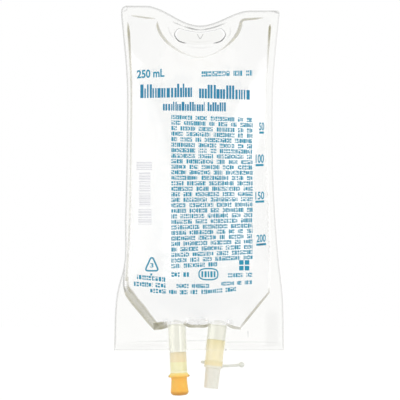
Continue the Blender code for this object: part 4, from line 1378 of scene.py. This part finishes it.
def material(name, colour, roughness, transmission=0.0, ior=1.5, **inputs):
    """A Principled material with its nodes, and other sockets by name."""
    made = bpy.data.materials.new(name)
    made.use_nodes = True
    shader = made.node_tree.nodes["Principled BSDF"]
    inputs.update(Base_Color=(*colour, 1.0), Roughness=roughness, IOR=ior)
    inputs["Transmission_Weight"] = transmission
    for socket, value in inputs.items():
        shader.inputs[socket.replace("_", " ")].default_value = value
    made.diffuse_color = (*colour, 1.0)
    return made


def node(tree, kind, inputs=None, **settings):
    """A node with its settings. Each input takes a value, or a link from another's socket."""
    new = tree.nodes.new(kind)
    for key, value in settings.items():
        setattr(new, key, value)
    for socket, value in (inputs or {}).items():
        if isinstance(value, bpy.types.NodeSocket):
            tree.links.new(value, new.inputs[socket])
        else:
            new.inputs[socket].default_value = value
    return new


def ramp(tree, share, stops):
    """The colour, between (position, colour) stops, at a share from 0 to 1."""
    new = node(tree, "ShaderNodeValToRGB", {"Fac": share})
    elements = new.color_ramp.elements
    while len(elements) < len(stops):
        elements.new(0.5)
    for element, (position, colour) in zip(elements, stops):
        element.position = position
        element.color = (*colour, 1.0)
    return new.outputs["Color"]


def wavy(made, scale, strength, distance, stretch=(1.0, 1.0, 1.0)):
    """Gives the material a soft bump from noise, stretched along its own axes."""
    tree = made.node_tree
    coords = node(tree, "ShaderNodeTexCoord").outputs["Object"]
    mapped = node(tree, "ShaderNodeMapping", {"Vector": coords, "Scale": stretch}).outputs["Vector"]
    inputs = {"Vector": mapped, "Scale": scale, "Detail": NOISE_DETAIL}
    noise = node(tree, "ShaderNodeTexNoise", inputs).outputs["Fac"]
    bump = node(tree, "ShaderNodeBump", {"Height": noise, "Strength": strength, "Distance": distance})
    tree.links.new(bump.outputs["Normal"], tree.nodes["Principled BSDF"].inputs["Normal"])
    return noise


def clear_material(name, colour, roughness, ior, **waves):
    """A clear material with a soft bump."""
    made = material(name, colour, roughness, 1.0, ior)
    wavy(made, **waves)
    return made


def solid_material(name, dark, light, roughness, scale=GRAIN_SCALE, strength=GRAIN_STRENGTH, **inputs):
    """A moulded plastic or rubber whose colour varies a little from place to place."""
    made = material(name, light, roughness, **inputs)
    tree = made.node_tree
    grain = wavy(made, scale, strength, GRAIN_DEPTH)
    colour = ramp(tree, grain, ((GRAIN_DARK, dark), (GRAIN_LIGHT, light)))
    tree.links.new(colour, tree.nodes["Principled BSDF"].inputs["Base Color"])
    return made


def tinted(made, span, stops, stretch=None):
    """Tints the material by height on the piece, or by stretched distance from its middle."""
    tree = made.node_tree
    coords = node(tree, "ShaderNodeTexCoord").outputs["Object"]
    if stretch is None:
        measure = node(tree, "ShaderNodeSeparateXYZ", {"Vector": coords}).outputs["Z"]
    else:
        mapped = node(tree, "ShaderNodeMapping", {"Vector": coords, "Scale": stretch}).outputs["Vector"]
        measure = node(tree, "ShaderNodeVectorMath", {0: mapped}, operation="LENGTH").outputs["Value"]
    spread = {"Value": measure, "From Min": span[0], "From Max": span[1]}
    tint = ramp(tree, node(tree, "ShaderNodeMapRange", spread).outputs["Result"], stops)
    base = tree.nodes["Principled BSDF"].inputs["Base Color"]
    colours = {"Factor": 1.0, "A": base.links[0].from_socket, "B": tint}
    mix = node(tree, "ShaderNodeMix", colours, data_type="RGBA", blend_type="MULTIPLY")
    tree.links.new(mix.outputs["Result"], base)


def shade_mark_material(name, colour):
    """Painted shade: a dark coat that holds back the light by each vertex's strength."""
    made = material(name, colour, 0.6, Specular_IOR_Level=0.1)
    tree = made.node_tree
    strength = node(tree, "ShaderNodeAttribute", attribute_name="strength").outputs["Fac"]
    tree.links.new(strength, tree.nodes["Principled BSDF"].inputs["Alpha"])
    return made


def finishes():
    made = {
        "film": clear_material("clear soft film", (0.982, 0.982, 0.982), roughness=0.10, ior=1.45,
                               scale=60.0, strength=0.06, distance=0.0006, stretch=(1.0, 1.0, 0.35)),
        "liquid": material("clear solution", (0.978, 0.978, 0.983), roughness=0.0, transmission=1.0,
                           ior=1.33),
        "tongue": clear_material("clear slot tongue", (0.93, 0.93, 0.925), roughness=0.12, ior=1.3,
                                 scale=400.0, strength=0.15, distance=0.0003),
        "tube": clear_material("clear soft tube", (0.927, 0.925, 0.87), roughness=0.05, ior=1.4,
                               scale=220.0, strength=0.05, distance=0.0003, stretch=(1.0, 1.0, 0.3)),
        "sleeve": solid_material("amber sleeve", (0.87, 0.76, 0.55), (0.885, 0.80, 0.62), 0.3),
        "housing": solid_material("pale housing", (0.89, 0.86, 0.60), (0.90, 0.88, 0.66), 0.35),
        "orange": solid_material("orange rubber", (0.97, 0.80, 0.36), (0.985, 0.87, 0.44), 0.42,
                                 Subsurface_Weight=0.25, Subsurface_Scale=0.004),
        "bush": solid_material("straw bush", (0.91, 0.85, 0.66), (0.92, 0.865, 0.71), 0.3),
        "membrane": solid_material("pale membrane", (0.84, 0.80, 0.62), (0.88, 0.84, 0.68), 0.35),
        "cover": solid_material("milky cover", (0.865, 0.855, 0.77), (0.905, 0.895, 0.82), 0.3,
                                Subsurface_Weight=0.3, Subsurface_Scale=0.003,
                                Subsurface_Radius=(1.0, 0.9, 0.8)),
        "tail": solid_material("milky tail", (0.70, 0.71, 0.65), (0.77, 0.77, 0.73), 0.3),
        # Painted shade: the dark coats of all the shade lines
        "edge": shade_mark_material("edge shade", (0.10, 0.10, 0.10)),
        "refraction_shade": shade_mark_material("olive shade", (0.26, 0.235, 0.10)),
    }
    for key, name, dark, light in (
        ("ink", "teal ink", (0.005, 0.24, 0.385), (0.011, 0.28, 0.43)),
        ("bold ink", "dark teal ink", (0.008, 0.19, 0.35), (0.014, 0.225, 0.395)),
        ("pale ink", "pale grey ink", (0.72, 0.72, 0.77), (0.77, 0.77, 0.81)),
    ):
        made[key] = solid_material(name, dark, light, roughness=0.5, scale=900.0, strength=0.08)
    # The cap's orange, with painted shade on its end
    tinted(made["orange"], CAP_SPAN, CAP_COLOUR_AND_END_SHADE)
    # Painted shade on the lip's left and right tips
    tinted(made["orange"], LIP_SPAN, LIP_TIP_SHADE, LIP_STRETCH)
    tinted(made["bush"], BUSH_SPAN, BUSH_TINTS)
    tinted(made["cover"], COVER_SPAN, COVER_TINTS)
    return made


# Stage


def camera():
    data = bpy.data.cameras.new("camera")
    obj = bpy.data.objects.new("camera", data)
    bpy.context.scene.collection.objects.link(obj)
    bpy.context.scene.camera = obj
    centre_x = (PHOTO_SIDE / 2 - ORIGIN_COLUMN) * PIXEL
    obj.location = (centre_x, -CAMERA_DISTANCE, EYE_HEIGHT)
    obj.rotation_euler = (math.radians(90), 0, 0)
    data.sensor_width = SENSOR
    data.lens = SENSOR * CAMERA_DISTANCE / (PHOTO_SIDE * PIXEL)


def world():
    """A white studio: soft and a little darker below for light, white behind clear things."""
    made = bpy.data.worlds.new("studio")
    bpy.context.scene.world = made
    made.use_nodes = True
    tree = made.node_tree
    tree.nodes.clear()
    rays = node(tree, "ShaderNodeLightPath").outputs
    coords = node(tree, "ShaderNodeTexCoord").outputs["Generated"]
    height = node(tree, "ShaderNodeSeparateXYZ", {"Vector": coords}).outputs["Z"]
    share = node(tree, "ShaderNodeMapRange", {"Value": height, "From Min": -1.0}).outputs["Result"]
    colours = []
    for ray, greys in STUDIO:
        stops = [(position, (grey, grey, grey * STUDIO_BLUE)) for position, grey in greys]
        colours.append((ray, ramp(tree, share, stops)))
    colours.append(("Is Camera Ray", (1.0, 1.0, 1.0, 1.0)))
    shown = None
    for ray, colour in colours:
        new = node(tree, "ShaderNodeBackground", {"Color": colour}).outputs[0]
        if ray:
            new = node(tree, "ShaderNodeMixShader", {0: rays[ray], 1: shown, 2: new}).outputs[0]
        shown = new
    node(tree, "ShaderNodeOutputWorld", {"Surface": shown})


def soft_light(name, place, size, power, in_gloss):
    data = bpy.data.lights.new(name, "AREA")
    data.shape = "RECTANGLE"
    data.size, data.size_y = size
    data.energy = power
    obj = bpy.data.objects.new(name, data)
    bpy.context.scene.collection.objects.link(obj)
    obj.location = place
    obj.rotation_mode = "QUATERNION"
    obj.rotation_quaternion = (Vector(LIGHT_TARGET) - Vector(place)).to_track_quat("-Z", "Y")
    obj.visible_glossy = in_gloss


def floor():
    """A pale floor below the hanging bag, white to the camera where no shadow falls."""
    bm = bmesh.new()
    bmesh.ops.create_grid(bm, x_segments=1, y_segments=1, size=FLOOR_SIZE)
    made = material("pale floor", (0.86, 0.86, 0.85), 0.6, Specular_IOR_Level=0.0,
                    Emission_Color=(1.0, 1.0, 1.0, 1.0))
    tree = made.node_tree
    rays = node(tree, "ShaderNodeLightPath").outputs
    direct = {0: rays["Is Camera Ray"], 1: rays["Is Transmission Ray"]}
    seen = node(tree, "ShaderNodeMath", direct, operation="MAXIMUM").outputs[0]
    lift = node(tree, "ShaderNodeMath", {0: seen, 1: FLOOR_LIFT}, operation="MULTIPLY").outputs[0]
    tree.links.new(lift, tree.nodes["Principled BSDF"].inputs["Emission Strength"])
    obj = mesh_object("floor", bm, made)
    obj.location = (0.0, 0.0, FLOOR_HEIGHT)


def stage():
    cycles = bpy.context.scene.cycles
    cycles.max_bounces = CLEAR_BOUNCES
    cycles.transmission_bounces = CLEAR_BOUNCES
    cycles.glossy_bounces = CLEAR_BOUNCES
    cycles.diffuse_bounces = DIFFUSE_BOUNCES
    cycles.blur_glossy = 0.0
    world()
    camera()
    floor()
    for name, light in LIGHTS.items():
        soft_light(name, *light)


def main():
    stage()
    materials = finishes()
    surface = film_surface()
    skins = {}
    for where, side in SIDES:
        sheet, skins[where] = film(f"{where}_film_sheet", side, surface, materials["film"])
        piece(sheet, "bag", "film", f"{where}_film")
    piece(solution(surface, materials["liquid"]), "bag", "solution", "solution")
    flap, flap_skin = tongue(materials["tongue"])
    piece(flap, "bag", "film")
    # Painted shade along the tongue's folds
    fold_shades = drawn_streaks(TONGUE_FOLD_SHADES, STRIP_ACROSS)
    piece(marks("slot_tongue_fold_shade", fold_shades, flap_skin, FRONT, materials["edge"]), "bag", "film")
    injection_port(materials)
    outlet_port(materials)
    frame["nodes"]["outlet_membrane"].material_slots[0].material = materials["membrane"]
    # Painted shade lines on both films, along edges, creases and welds and where the liquid bends the
    # light
    edges, refraction_shade = edge_shade_streaks(), refraction_shade_streaks()
    for where, side in SIDES:
        for name, streaks in (("edge", edges), ("refraction_shade", refraction_shade)):
            full_name = f"{name}_lines_{where}"
            lines = marks(full_name, streaks, skins[where], side, materials[name], BOTH_SIDES)
            piece(lines, "bag", "film")
    label(skins["front"], materials)


main()
bpy.context.scene.view_settings.view_transform = "Standard"
